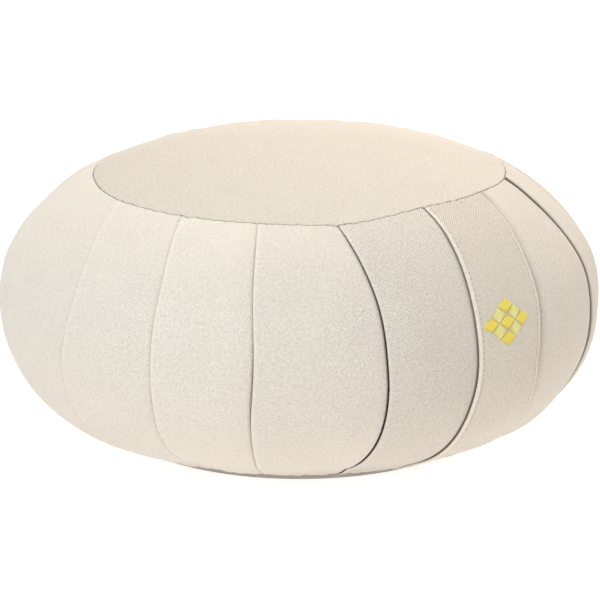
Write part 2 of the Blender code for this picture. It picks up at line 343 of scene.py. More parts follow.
    def place(self, angle: Array, drop: Array, out: Array = 0.0, along: Array = 0.0) -> Array:
        """Points on the wall.

        Args:
            angle: Angles round the cushion.
            drop: Places down the wall.
            out: How far each point stands out from the outline.
            along: How far it is moved up the wall, towards the top seam.

        Returns:
            The points, with x, y and z on the last axis.
        """
        radius, level, normal = self.outline(angle, drop)
        radius = radius + normal[..., 0] * out - normal[..., 1] * along
        level = level + normal[..., 1] * out + normal[..., 0] * along
        return around_axis(angle, radius, level)

    @cached_property
    def meridian(self) -> tuple[Array, Array]:
        """The front of the wall, measured down its outline.

        Returns:
            Drops down the wall, and the length of cloth from the top seam to each.
        """
        drops = np.linspace(0.0, 1.0, self.measured_places)
        radius, level, _ = self.outline(0.0, drops)
        steps = np.hypot(np.diff(radius), np.diff(level))
        return drops, np.concatenate(([0.0], np.cumsum(steps)))

    @property
    def wall_length(self) -> float:
        """Length of the wall's cloth from seam to seam."""
        return float(self.meridian[1][-1])

    def drop_at(self, length: Array) -> Array:
        """The drop at each length down from the top seam."""
        return np.interp(length, self.meridian[1], self.meridian[0])

    def length_at(self, drop: Array) -> Array:
        """The length down from the top seam at each drop."""
        return np.interp(drop, self.meridian[0], self.meridian[1])

    def fullness(self, drop: Array) -> Array:
        """How far the folds stand open: 0 at both seams, and 1 at the belly."""
        opened = np.clip(np.minimum(drop, 1.0 - drop) / self.opening_reach, 0.0, 1.0)
        return opened**self.opening_power * mixed(self.seam_fullness, 1.0, hump(drop))

    def opening(self, drop: Array) -> Array:
        """How far the folds stand open with the thickness of their cloth, which the seams keep."""
        return self.shut_share + (1.0 - self.shut_share) * self.fullness(drop)

    def strip_top(self, drop: Array) -> Array:
        """How far the strip's outer face stands off the outline."""
        return self.strip_proud * np.minimum(self.fullness(drop) * self.strip_steepness, 1.0)

    def bed_depth(self, drop: Array) -> Array:
        """Where the wall lies under the strip, measured out from the outline."""
        return self.strip_top(drop) - self.strip_cloth - self.gap

    def wall_coordinates(self, points: Array) -> tuple[Array, Array, Array]:
        """Where points lie on the wall, found from their places.

        Args:
            points: Points on or near the wall, one to a row.

        Returns:
            Angle, drop, and the outward normal in space.
        """
        angle = angle_round(points)
        radius = np.hypot(points[:, 0], points[:, 1])
        rise = points[:, 2] - self.belly_height
        centre, depth, height, span = self.arc(rise > 0.0)
        turn = np.arctan2(rise / height, np.maximum(radius - centre, 0.0) / depth)
        drop = np.clip(0.5 - 0.5 * turn / span, 0.0, 1.0)
        normal = self.outline(angle, drop)[2]
        return angle, drop, around_axis(angle, normal[:, 0], normal[:, 1])

    def crown(self, angle: Array, share: Array) -> tuple[Array, Array]:
        """The crowned top.

        Args:
            angle: Angles round the cushion.
            share: Shares of the way from the middle out to the seam.

        Returns:
            Radius and height.
        """
        reach, height = self.seam_place(angle)
        inner = np.minimum(share, 1.0)
        rise = self.crown_rise * (1.0 - inner**self.crown_power)
        return (reach - self.gap) * share, mixed(self.seam_height, height, inner * inner) + rise

    def sole(self, angle: Array, share: Array) -> tuple[Array, Array]:
        """The underside, flat on the floor and curving up to the foot seam.

        Args:
            angle: Angles round the cushion.
            share: Shares of the way from the middle out to the seam.

        Returns:
            Radius and height.
        """
        curl = np.maximum(share - self.flat_share, 0.0) / (1.0 - self.flat_share)
        wider, higher = self.foot_place(angle)
        reach = self.foot_radius + wider - self.gap
        return reach * share, (self.foot_height + higher) * curl**self.curl_power


def around_axis(angle: Array, radius: Array, level: Array) -> Array:
    """Points at these angles, radii and heights."""
    turn = np.radians(angle)
    return np.stack(np.broadcast_arrays(radius * np.sin(turn), -radius * np.cos(turn), level), axis=-1)


@dataclass(frozen=True)
class Relief:
    """The soft unevenness of filled cloth: low lumps of filling, and puckers at both seams.

    Both are sums of waves. Each wave goes a whole number of times round, drawn from
    lumps_round or puckers_round. A lump's goes down the wall too, up to lumps_down half turns.
    """

    form: CushionForm
    lump: float = 0.45 * MM
    seam_pucker: float = 0.30 * MM
    foot_pucker: float = 0.50 * MM
    pucker_fade: float = 11.0 * MM
    lump_fade: float = 18.0 * MM
    waves: int = 14
    lumps_round: tuple[int, int] = (5, 27)
    lumps_down: float = 4.5
    puckers_round: tuple[int, int] = (45, 118)
    wave_sizes: tuple[float, float] = (0.4, 1.0)
    seed: int = 7

    @cached_property
    def lumps(self) -> Array:
        """The waves of the filling.

        Returns:
            A row for each: times round, times down, phase and size.
        """
        draw = np.random.default_rng(self.seed)
        around = draw.integers(*self.lumps_round, self.waves)
        down = draw.uniform(-self.lumps_down, self.lumps_down, self.waves)
        phase = draw.uniform(0.0, 2.0 * math.pi, self.waves)
        return np.stack((around, down, phase, draw.uniform(*self.wave_sizes, self.waves)), axis=-1)

    @cached_property
    def puckers(self) -> Array:
        """The waves of the gathered edge.

        Returns:
            A row for each: times round, phase and size.
        """
        draw = np.random.default_rng(self.seed + 1)
        around = draw.integers(*self.puckers_round, self.waves)
        phase = draw.uniform(0.0, 2.0 * math.pi, self.waves)
        return np.stack((around, phase, draw.uniform(*self.wave_sizes, self.waves)), axis=-1)

    def levelled(self, waves: list[Array]) -> Array:
        """The sum of some waves, scaled to lie mostly between -1 and 1."""
        return sum(waves) / math.sqrt(self.waves / 2.0)

    def pucker(self, angle: Array) -> Array:
        """The gathered edge's height round the seam, mostly between -1 and 1."""
        turn = np.radians(angle)
        return self.levelled([size * np.sin(times * turn + phase) for times, phase, size in self.puckers])

    def lift(self, angle: Array, drop: Array) -> Array:
        """How far the side wall stands out from its outline.

        Args:
            angle: Angles round the cushion.
            drop: Places down the wall.

        Returns:
            The lengths, which both layers of a fold share.
        """
        length = self.form.length_at(drop)
        from_foot = self.form.wall_length - length
        turn = np.radians(angle)
        waves = [
            size * np.sin(times * turn + down * math.pi * drop + phase)
            for times, down, phase, size in self.lumps
        ]
        calm = eased(np.minimum(length, from_foot) / self.lump_fade)
        seam = self.seam_pucker * np.exp(-length / self.pucker_fade)
        foot = self.foot_pucker * np.exp(-from_foot / self.pucker_fade)
        return self.lump * calm * self.levelled(waves) + (seam + foot) * self.pucker(angle)

    def on_wall(self, points: Array) -> Array:
        """The points, moved out with the side wall's relief."""
        angle, drop, normal = self.form.wall_coordinates(points)
        return points + normal * self.lift(angle, drop)[:, None]

    def on_panel(self, points: Array, share: Array) -> Array:
        """How far a round panel's points rise.

        Args:
            points: Points on the panel, one to a row.
            share: How far out to the seam each one lies.

        Returns:
            The heights, which fade to the seam's own puckers.
        """
        waves = []
        for times, down, phase, size in self.lumps:
            swing = 2.0 * math.pi * np.array((math.cos(phase), math.sin(phase))) * times / self.form.width
            waves.append(size * np.sin(points[:, :2] @ swing + down))
        inwards = np.maximum(1.0 - share, 0.0) * self.form.seam_radius
        calm = eased(inwards / self.lump_fade)
        pucker = self.seam_pucker * np.exp(-inwards / self.pucker_fade) * self.pucker(angle_round(points))
        return self.lump * calm * self.levelled(waves) + pucker


@dataclass(frozen=True)
class SeamRoll:
    """How an edge rolls down into a seam's groove: its radius, and how deep the cloth is tucked.

    darkness is the strength of the painted shade in the groove. broken is how far the puckers
    open and shut it, between least_open and most_open. shade_from and shade_over, in radii,
    are where the painted shade begins and over what depth it deepens.
    """

    radius: float = 0.65 * MM
    tuck: float = 2.6 * MM
    turns: tuple[float, ...] = (20.0, 42.0, 66.0, 90.0)
    clear: float = 0.08 * MM
    painted_groove_shade: float = 0.46
    broken: float = 0.62
    least_open: float = 0.2
    most_open: float = 1.6
    shade_from: float = 0.3
    shade_over: float = 0.9

    @property
    def flat_end(self) -> float:
        """How far short of the seam the cloth begins to roll."""
        return self.radius + self.clear

    def steps(self) -> list[tuple[float, float]]:
        """The rows past the flat.

        Returns:
            For each, how far short of the seam it lies, and how deep.
        """
        rolled = []
        for turn in self.turns:
            bend = math.radians(turn)
            short = self.clear + self.radius * (1.0 - math.sin(bend))
            rolled.append((short, self.radius * (1.0 - math.cos(bend))))
        return rolled

    def shade(self, down: Array, pucker: Array) -> Array:
        """The groove's painted shade at a depth, broken up by the seam's puckers."""
        open_here = np.clip(1.0 + self.broken * pucker, self.least_open, self.most_open)
        return self.painted_groove_shade * open_here * eased((down / self.radius - self.shade_from) / self.shade_over)


def put_in_scene(name: str, data: bpy.types.ID) -> bpy.types.Object:
    """An object of a mesh, a light or a camera, placed at the origin.

    Args:
        name: Name of the object.
        data: What it holds.

    Returns:
        The object.
    """
    made = bpy.data.objects.new(name, data)
    bpy.context.scene.collection.objects.link(made)
    return made


def new_object(name: str, points: Array, faces: list[list[int]]) -> bpy.types.Object:
    """A mesh object made from points and faces, smooth all over.

    Args:
        name: Name of the piece.
        points: Its points, one to a row.
        faces: Its faces, as lists of point numbers.

    Returns:
        The object, at the origin.
    """
    mesh = bpy.data.meshes.new(name)
    mesh.from_pydata(points.tolist(), [], faces)
    mesh.shade_smooth()
    return put_in_scene(name, mesh)


def apply_modifier(thing: bpy.types.Object, kind: str, settings: dict) -> None:
    """Adds a modifier to an object and applies it.

    Args:
        thing: The object.
        kind: The modifier's type.
        settings: Its settings by name.
    """
    bpy.ops.object.select_all(action="DESELECT")
    thing.select_set(True)
    bpy.context.view_layer.objects.active = thing
    modifier = thing.modifiers.new(kind.lower(), kind)
    for name, value in settings.items():
        setattr(modifier, name, value)
    bpy.ops.object.modifier_apply(modifier=modifier.name)


def set_attribute(mesh: bpy.types.Mesh, name: str, values: Array) -> None:
    """Stores a number for each point of a mesh."""
    attribute = mesh.attributes.new(name, "FLOAT", "POINT")
    attribute.data.foreach_set("value", np.asarray(values, np.float32).ravel())


def get_points(mesh: bpy.types.Mesh) -> Array:
    """Reads a mesh's points.

    Args:
        mesh: The mesh.

    Returns:
        The points, one to a row.
    """
    points = np.empty(len(mesh.vertices) * 3)
    mesh.vertices.foreach_get("co", points)
    return points.reshape(-1, 3)


def set_points(mesh: bpy.types.Mesh, points: Array) -> None:
    """Moves a mesh's points to these places."""
    mesh.vertices.foreach_set("co", points.astype(np.float32).ravel())
    mesh.update()


def point_numbers(mesh: bpy.types.Mesh) -> Array:
    """Reads which point each face corner of a mesh stands on.

    Args:
        mesh: The mesh.

    Returns:
        The points' numbers, one for each corner.
    """
    corners = np.empty(len(mesh.loops), int)
    mesh.loops.foreach_get("vertex_index", corners)
    return corners


def set_cloth_map(mesh: bpy.types.Mesh, corners: Array) -> None:
    """Gives a mesh its cloth map: metres to the right and up for each face corner."""
    layer = mesh.uv_layers.new(name=CLOTH_MAP)
    layer.data.foreach_set("uv", corners.astype(np.float32).ravel())


def dress(piece: bpy.types.Object, finish: "Finish", node: str | None = None) -> None:
    """Finishes a piece, attaches it to the cushion's body, and hides the solid that it stands for, if any.

    Args:
        piece: The piece.
        finish: Its finish.
        node: The solid that it stands for, if any.
    """
    piece.data.materials.append(finish.make())
    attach(piece, BODY)
    if node:
        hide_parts(node)


def extruded(mesh: bmesh.types.BMesh, loop: list[bmesh.types.BMEdge]) -> tuple[list, list]:
    """Extrudes an open edge loop, without moving it.

    Args:
        mesh: The mesh.
        loop: The edges at its rim.

    Returns:
        The new points, and the new rim's edges.
    """
    grown = bmesh.ops.extrude_edge_only(mesh, edges=loop)["geom"]
    points = [item for item in grown if isinstance(item, bmesh.types.BMVert)]
    edges = [item for item in grown if isinstance(item, bmesh.types.BMEdge) and item.is_boundary]
    return points, edges


def move_points(points: list[bmesh.types.BMVert], places: Array) -> None:
    """Moves points of a mesh that is being edited to these places."""
    for point, place in zip(points, places):
        point.co = Vector(place)


def close_outwards(mesh: bmesh.types.BMesh) -> None:
    """Turns the faces of a closed mesh outwards.

    Args:
        mesh: The mesh.
    """
    bmesh.ops.recalc_face_normals(mesh, faces=mesh.faces)
    if mesh.calc_volume(signed=True) < 0.0:
        bmesh.ops.reverse_faces(mesh, faces=mesh.faces)


def grid_faces(rows: int, columns: int) -> list[list[int]]:
    """The quads of a grid that closes on itself sideways.

    Args:
        rows: Its rows, from the top.
        columns: Its columns, to the right.

    Returns:
        The faces, which point out.
    """
    row, column = np.meshgrid(np.arange(rows - 1), np.arange(columns), indexing="ij")
    here, following = row * columns + column, row * columns + (column + 1) % columns
    quads = np.stack((here, here + columns, following + columns, following), axis=-1)
    return quads.reshape(-1, 4).tolist()


@dataclass(frozen=True)
class FoldStep:
    """A point of the wall's section over a pleat line.

    across is its place to the right of the line, in millimetres. dip, sink, fold and bed are
    its shares of the line's dip and sink, of the fold's thickness and of the strip's bed.
    dark is the painted shade that the fold casts on it, and worn the painted highlight on a folded edge.
    """

    across: float
    dip: float = 0.0
    sink: float = 0.0
    fold: float = 0.0
    bed: float = 0.0
    painted_shade: float = 0.0
    painted_highlight: float = 0.0


# Painted shade: the shade shares of these tables paint the shade inside each fold, deepest where the cloth
# turns in under it.
FALLING = (
    FoldStep(-13.0),
    FoldStep(-7.0, dip=0.05),
    FoldStep(-4.0, dip=0.13),
    FoldStep(-2.2, dip=0.26),
    FoldStep(-1.1, dip=0.44, painted_shade=0.14),
    FoldStep(-0.3, dip=0.68, painted_shade=0.60),
    FoldStep(0.5, dip=0.90, painted_shade=0.95),
    FoldStep(2.2, dip=1.0, painted_shade=1.0),
    FoldStep(4.6, dip=1.0, painted_shade=1.0),
)
# The step where the cloth turns back, and with it the next panel's tone and map begin.
TURN_STEP = len(FALLING)
OVERLAP = (
    FoldStep(5.2, dip=0.5, sink=0.5, fold=0.5, painted_shade=1.0),
    FoldStep(4.6, sink=1.0, fold=1.0, painted_shade=1.0),
    FoldStep(2.2, sink=1.0, fold=1.0, painted_shade=1.0),
    FoldStep(0.25, sink=1.0, fold=0.90, painted_shade=0.8),
    FoldStep(-0.35, sink=1.0, fold=0.50, painted_shade=0.15, painted_highlight=0.6),
    FoldStep(0.1, sink=1.0, fold=0.08, painted_highlight=1.0),
    FoldStep(0.9, sink=0.95, painted_highlight=0.7),
    FoldStep(2.2, sink=1.15, painted_highlight=0.1),
    FoldStep(4.6, sink=0.8),
    FoldStep(9.0, sink=0.25),
)
KNIFE_FOLD = FALLING + OVERLAP
# A wide fold lapped from the left, whose painted shade reaches further out, past the part that the fold's
# edge hides from the front.
WIDE_FOLD = (
    FoldStep(-13.0),
    FoldStep(-8.5, dip=0.05),
    FoldStep(-6.4, dip=0.13, painted_shade=0.08),
    FoldStep(-5.3, dip=0.24, painted_shade=0.50),
    FoldStep(-4.5, dip=0.38, painted_shade=0.95),
    FoldStep(-3.8, dip=0.56, painted_shade=1.0),
    FoldStep(-2.6, dip=0.82, painted_shade=1.0),
    FoldStep(-0.6, dip=1.0, painted_shade=1.0),
    FoldStep(4.6, dip=1.0, painted_shade=1.0),
) + OVERLAP
# Under the strip's left edge the fold's painted shade turns to full painted shade on the wall under the
# strip.
UNDER_STRIP_EDGE = FALLING + (
    FoldStep(5.6, dip=0.7, bed=0.3, painted_shade=1.0),
    FoldStep(6.8, dip=0.3, bed=0.7, painted_shade=1.0),
    *(FoldStep(8.0 + 1.2 * step, bed=1.0, painted_shade=1.0) for step in range(8)),
)
# Painted shadow that the strip's right edge casts on the wall beside it, after full painted shade under the
# strip.
UNDER_STRIP_END = (
    *(FoldStep(-16.4 + 1.8 * step, bed=1.0, painted_shade=1.0) for step in range(9)),
    FoldStep(-0.9, bed=1.0, painted_shade=1.0),
    FoldStep(-0.1, bed=1.0, painted_shade=1.0),
    FoldStep(0.30, bed=1.0, painted_shade=1.0),
    FoldStep(0.42, bed=0.5, painted_shade=0.8),
    FoldStep(0.52, sink=1.0, painted_shade=0.50),
    FoldStep(1.6, sink=1.0, painted_shade=0.40),
    FoldStep(3.2, sink=0.8, painted_shade=0.26),
    FoldStep(4.8, sink=0.5, painted_shade=0.08),
    FoldStep(9.0, sink=0.15),
)
CROSSINGS = {
    Lap.RIGHT: KNIFE_FOLD,
    Lap.LEFT: WIDE_FOLD,
    Lap.STRIP_EDGE: UNDER_STRIP_EDGE,
    Lap.STRIP_END: UNDER_STRIP_END,
}


class Signal:
    """A node's output, on which Python arithmetic adds Math nodes."""

    def __init__(self, bench: "NodeBench", socket: bpy.types.NodeSocket) -> None:
        """Wraps a socket of a material's nodes."""
        self.bench = bench
        self.socket = socket

    def __add__(self, other: "Number") -> "Signal":
        """Adds."""
        return self.bench.maths("ADD", self, other)

    __radd__ = __add__

    def __mul__(self, other: "Number") -> "Signal":
        """Multiplies."""
        return self.bench.maths("MULTIPLY", self, other)

    __rmul__ = __mul__

    def __sub__(self, other: "Number") -> "Signal":
        """Subtracts."""
        return self.bench.maths("SUBTRACT", self, other)

    def __rsub__(self, other: "Number") -> "Signal":
        """Subtracts from a number."""
        return self.bench.maths("SUBTRACT", other, self)

    def __truediv__(self, other: "Number") -> "Signal":
        """Divides."""
        return self.bench.maths("DIVIDE", self, other)

    def __rtruediv__(self, other: "Number") -> "Signal":
        """Divides a number."""
        return self.bench.maths("DIVIDE", other, self)

    def __pow__(self, other: "Number") -> "Signal":
        """Raises to a power."""
        return self.bench.maths("POWER", self, other)

    def __rpow__(self, other: "Number") -> "Signal":
        """Raises a number to it."""
        return self.bench.maths("POWER", other, self)

    def __gt__(self, other: "Number") -> "Signal":
        """1 where it is greater, and 0 elsewhere."""
        return self.bench.maths("GREATER_THAN", self, other)

    def floor(self) -> "Signal":
        """The whole number below."""
        return self.bench.maths("FLOOR", self)

    def part(self) -> "Signal":
        """What is left above the whole number."""
        return self.bench.maths("FRACT", self)

    def sine(self) -> "Signal":
        """Its sine."""
        return self.bench.maths("SINE", self)

    def most(self, other: "Number") -> "Signal":
        """The greater of the two."""
        return self.bench.maths("MAXIMUM", self, other)

    def least(self, other: "Number") -> "Signal":
        """The smaller of the two."""
        return self.bench.maths("MINIMUM", self, other)


Number = float | Signal


class NodeBench:
    """Builds the nodes of one material."""

    def __init__(self, name: str) -> None:
        """Makes a material with its Principled shader.

        Args:
            name: Name of the material.
        """
        self.material = bpy.data.materials.new(name)
        self.material.use_nodes = True
        self.tree = self.material.node_tree
        self.shader = self.tree.nodes["Principled BSDF"]

    def feed(self, socket: bpy.types.NodeSocket, value: object) -> None:
        """Links a signal to a socket, or sets the socket to a value.

        Args:
            socket: The socket.
            value: The signal or the value.
        """
        if isinstance(value, Signal):
            self.tree.links.new(value.socket, socket)
        else:
            socket.default_value = value

    def node(self, kind: str, settings: dict | None = None, inputs: dict | None = None) -> bpy.types.Node:
        """Adds a node.

        Args:
            kind: The node's type.
            settings: Its settings by name, which are set first.
            inputs: Values or signals for its sockets, by name or by number.

        Returns:
            The node.
        """
        made = self.tree.nodes.new(kind)
        for name, value in (settings or {}).items():
            setattr(made, name, value)
        for name, value in (inputs or {}).items():
            self.feed(made.inputs[name], value)
        return made

    def maths(self, operation: str, first: Number, second: Number = 0.0) -> Signal:
        """Adds a Math node."""
        made = self.node("ShaderNodeMath", {"operation": operation}, {0: first, 1: second})
        return Signal(self, made.outputs[0])

    def noise(self, place: Signal, scale: float, detail: float = 2.0, flat: bool = True) -> Signal:
        """Soft noise from 0 to 1.

        Args:
            place: Where it is read, in metres.
            scale: Its features in each metre.
            detail: How many finer layers it has.
            flat: Whether it reads only two coordinates.

        Returns:
            The noise.
        """
        settings = {"noise_dimensions": "2D" if flat else "3D"}
        inputs = {"Vector": place, "Scale": scale, "Detail": detail}
        made = self.node("ShaderNodeTexNoise", settings, inputs)
        return Signal(self, made.outputs["Fac"])

    def attribute(self, name: str) -> Signal:
        """A number that the mesh stores at its points."""
        made = self.node("ShaderNodeAttribute", {"attribute_name": name})
        return Signal(self, made.outputs["Fac"])

    def stretched(self, place: Signal, x: float, y: float) -> Signal:
        """A place with its two coordinates scaled."""
        made = self.node("ShaderNodeVectorMath", {"operation": "MULTIPLY"}, {0: place, 1: (x, y, 1.0)})
        return Signal(self, made.outputs[0])

    def toned(self, colour: Colour, tone: Signal) -> Signal:
        """A colour made lighter or darker by a tone."""
        made = self.node("ShaderNodeVectorMath", {"operation": "SCALE"}, {0: colour, "Scale": tone})
        return Signal(self, made.outputs[0])

    def blended(self, share: Signal, first: Signal, second: Colour) -> Signal:
        """Goes from the first colour to the second as share goes from 0 to 1."""
        made = self.node("ShaderNodeMix", {"data_type": "RGBA"}, {0: share, 6: first, 7: (*second, 1.0)})
        return Signal(self, made.outputs[2])

    def bump(self, height: Signal, distance: float, strength: float) -> None:
        """Raises the surface.

        Args:
            height: By how much, in units of the distance.
            distance: The distance.
            strength: How strongly it shows, from 0 to 1.
        """
        inputs = {"Height": height, "Distance": distance, "Strength": strength}
        made = self.node("ShaderNodeBump", None, inputs)
        self.tree.links.new(made.outputs["Normal"], self.shader.inputs["Normal"])

    def set_shader(self, **values: object) -> None:
        """Sets or links the shader's sockets, named with underscores for spaces."""
        for name, value in values.items():
            self.feed(self.shader.inputs[name.replace("_", " ")], value)


@dataclass(frozen=True)
class TwillCloth:
    """Undyed cotton in a warp-faced twill, three yarns up and one down.

    The weave follows the piece's own cloth map, in metres, so that its diagonal lines rise
    to the right on every panel, with painted shade in the furrows between its yarns. Folds and
    grooves are darker with painted shade, and folded edges a little lighter with a painted
    highlight. Each panel of the wall has a tone of its own, which on the panels in front is
    painted light and shade, and the weave's painted shade is crisper on the darker ones. Each
    scale is in features to a metre. repeat is the yarns in a repeat of the weave, and
    float_share is how much of it a warp yarn floats over.
    """

    name: str
    colour: Colour
    yarn: float = 0.38 * MM
    repeat: float = 4.0
    float_share: float = 0.75
    weft_height: float = 0.45
    roundness: float = 0.6
    painted_furrow_shade: float = 0.34
    mean_weave: float = 0.48
    uneven: float = 0.5
    uneven_scale: float = 160.0
    patchy: float = 2.0
    patch_scale: float = 75.0
    least_patch: float = 0.4
    crisp: float = 18.0
    least_crisp: float = 0.2
    slub: float = 0.04
    slub_stretch: float = 0.06
    warp_slub_scale: float = 1300.0
    weft_slub_scale: float = 1100.0
    grain: float = 0.34
    grain_scale: float = 620.0
    cloud: float = 0.05
    cloud_scale: float = 38.0
    fuzz: float = 0.18
    fuzz_scale: float = 1500.0
    painted_highlight_tone: float = 0.09
    painted_shade_colour: Colour = (0.055, 0.044, 0.034)
    painted_shade_depth: float = 0.95
    relief: float = 0.22 * MM
    relief_strength: float = 0.8
    fuzz_relief: float = 0.5
    slub_relief: float = 0.3
    roughness: float = 0.97
    yarn_polish: float = 0.08
    specular: float = 0.22
    sheen: float = 0.18
    sheen_roughness: float = 0.45

    def weave(self, bench: NodeBench, place: Signal) -> Signal:
        """The weave's relief.

        Args:
            bench: The material's nodes.
            place: Where it is read on the cloth map.

        Returns:
            Its height, from 0 between the yarns to 1 at the top of a float.
        """
        uneven = (bench.noise(place, self.uneven_scale, detail=1.0) - 0.5) * self.uneven
        split = bench.node("ShaderNodeSeparateXYZ", None, {0: place})
        across = Signal(bench, split.outputs["X"]) / self.yarn + uneven
        upward = Signal(bench, split.outputs["Y"]) / self.yarn + uneven
        stage = ((upward - across.floor()) / self.repeat).part()
        arch = ((stage / self.float_share).least(1.0) * math.pi).sine().most(0.0)
        warp_round = 1.0 - (across.part() * 2.0 - 1.0) ** 2.0
        weft_round = 1.0 - (upward.part() * 2.0 - 1.0) ** 2.0
        under = (stage > self.float_share) * weft_round * self.weft_height
        return (arch * (warp_round * self.roundness + (1.0 - self.roundness))).most(under)

    def make(self) -> bpy.types.Material:
        """The material.

        Returns:
            The material, which reads the cloth map and the attributes dark, worn and tone.
        """
        bench = NodeBench(self.name)
        place = Signal(bench, bench.node("ShaderNodeUVMap", {"uv_map": CLOTH_MAP}).outputs["UV"])
        weave = self.weave(bench, place)
        along_warp = bench.stretched(place, 1.0, self.slub_stretch)
        along_weft = bench.stretched(place, self.slub_stretch, 1.0)
        warp_slub = bench.noise(along_warp, self.warp_slub_scale, detail=1.0)
        weft_slub = bench.noise(along_weft, self.weft_slub_scale, detail=1.0)
        cloud = bench.noise(place, self.cloud_scale, detail=3.0)
        patch = bench.noise(place, self.patch_scale)
        fuzz = bench.noise(place, self.fuzz_scale)
        grain = bench.noise(place, self.grain_scale, detail=3.0)
        panel = bench.attribute("tone")
        # Painted shade in the weave's furrows, stronger where the panel is painted darker.
        clear = (1.0 + (patch - 0.5) * self.patchy).most(self.least_patch)
        clear = (clear - panel * self.crisp).most(self.least_crisp)
        tone = 1.0 + panel + (weave - self.mean_weave) * clear * self.painted_furrow_shade
        tone = tone + (warp_slub + weft_slub - 1.0) * self.slub + (grain - 0.5) * self.grain
        tone = tone + (cloud - 0.5) * self.cloud + (fuzz - 0.5) * self.fuzz
        # Painted highlight on folded edges and hems.
        tone = tone + bench.attribute("painted_highlight") * self.painted_highlight_tone
        # Painted shade, which blends the cloth towards a near-black brown in folds, in grooves and under
        # the strip.
        painted_shade = bench.attribute("painted_shade") * self.painted_shade_depth
        relief = weave + fuzz * self.fuzz_relief + warp_slub * self.slub_relief
        bench.bump(relief, self.relief, self.relief_strength)
        bench.set_shader(
            Base_Color=bench.blended(painted_shade, bench.toned(self.colour, tone), self.painted_shade_colour),
            Roughness=self.roughness - weave * self.yarn_polish,
            Specular_IOR_Level=self.specular,
            Sheen_Weight=self.sheen,
            Sheen_Roughness=self.sheen_roughness,
        )
        return bench.material


@dataclass(frozen=True)
class ThreadFinish:
    """Sewing thread: plies that wind round it, and a soft shine."""

    name: str
    colour: Colour
    ply: float = 0.34 * MM
    contrast: float = 0.14
    fuzz: float = 0.12
    fuzz_scale: float = 2600.0
    fuzz_relief: float = 0.4
    relief: float = 0.05 * MM
    relief_strength: float = 0.7
    roughness: float = 0.72
    fuzz_roughness: float = 0.1
    specular: float = 0.35
    sheen: float = 0.20

    def make(self) -> bpy.types.Material:
        """The material.

        Returns:
            The material, which reads object coordinates.
        """
        bench = NodeBench(self.name)
        place = Signal(bench, bench.node("ShaderNodeTexCoord").outputs["Object"])
        split = bench.node("ShaderNodeSeparateXYZ", None, {0: place})
        along = Signal(bench, split.outputs["X"]) + Signal(bench, split.outputs["Z"])
        plies = ((along / self.ply) * 2.0 * math.pi).sine() * 0.5 + 0.5
        fuzz = bench.noise(place, self.fuzz_scale, flat=False)
        tone = 1.0 + (plies - 0.5) * self.contrast + (fuzz - 0.5) * self.fuzz
        bench.bump(plies + fuzz * self.fuzz_relief, self.relief, self.relief_strength)
        bench.set_shader(
            Base_Color=bench.toned(self.colour, tone),
            Roughness=self.roughness + fuzz * self.fuzz_roughness,
            Specular_IOR_Level=self.specular,
            Sheen_Weight=self.sheen,
        )
        return bench.material


@dataclass(frozen=True)
class FloorFinish:
    """Plain pale studio floor, with enough light of its own to keep shadows faint."""

    name: str = "pale studio floor"
    colour: Colour = (0.52, 0.52, 0.52)
    glow_colour: Colour = (1.0, 1.0, 1.0)
    glow: float = 0.80
    roughness: float = 0.9
    mottle: float = 0.01
    mottle_scale: float = 3.0

    def make(self) -> bpy.types.Material:
        """The material.

        Returns:
            The material, which reads object coordinates.
        """
        bench = NodeBench(self.name)
        place = Signal(bench, bench.node("ShaderNodeTexCoord").outputs["Object"])
        tone = 1.0 + (bench.noise(place, self.mottle_scale, flat=False) - 0.5) * self.mottle
        bench.set_shader(Base_Color=bench.toned(self.colour, tone), Roughness=self.roughness)
        bench.set_shader(Emission_Color=(*self.glow_colour, 1.0), Emission_Strength=self.glow)
        return bench.material


Finish = TwillCloth | ThreadFinish | FloorFinish


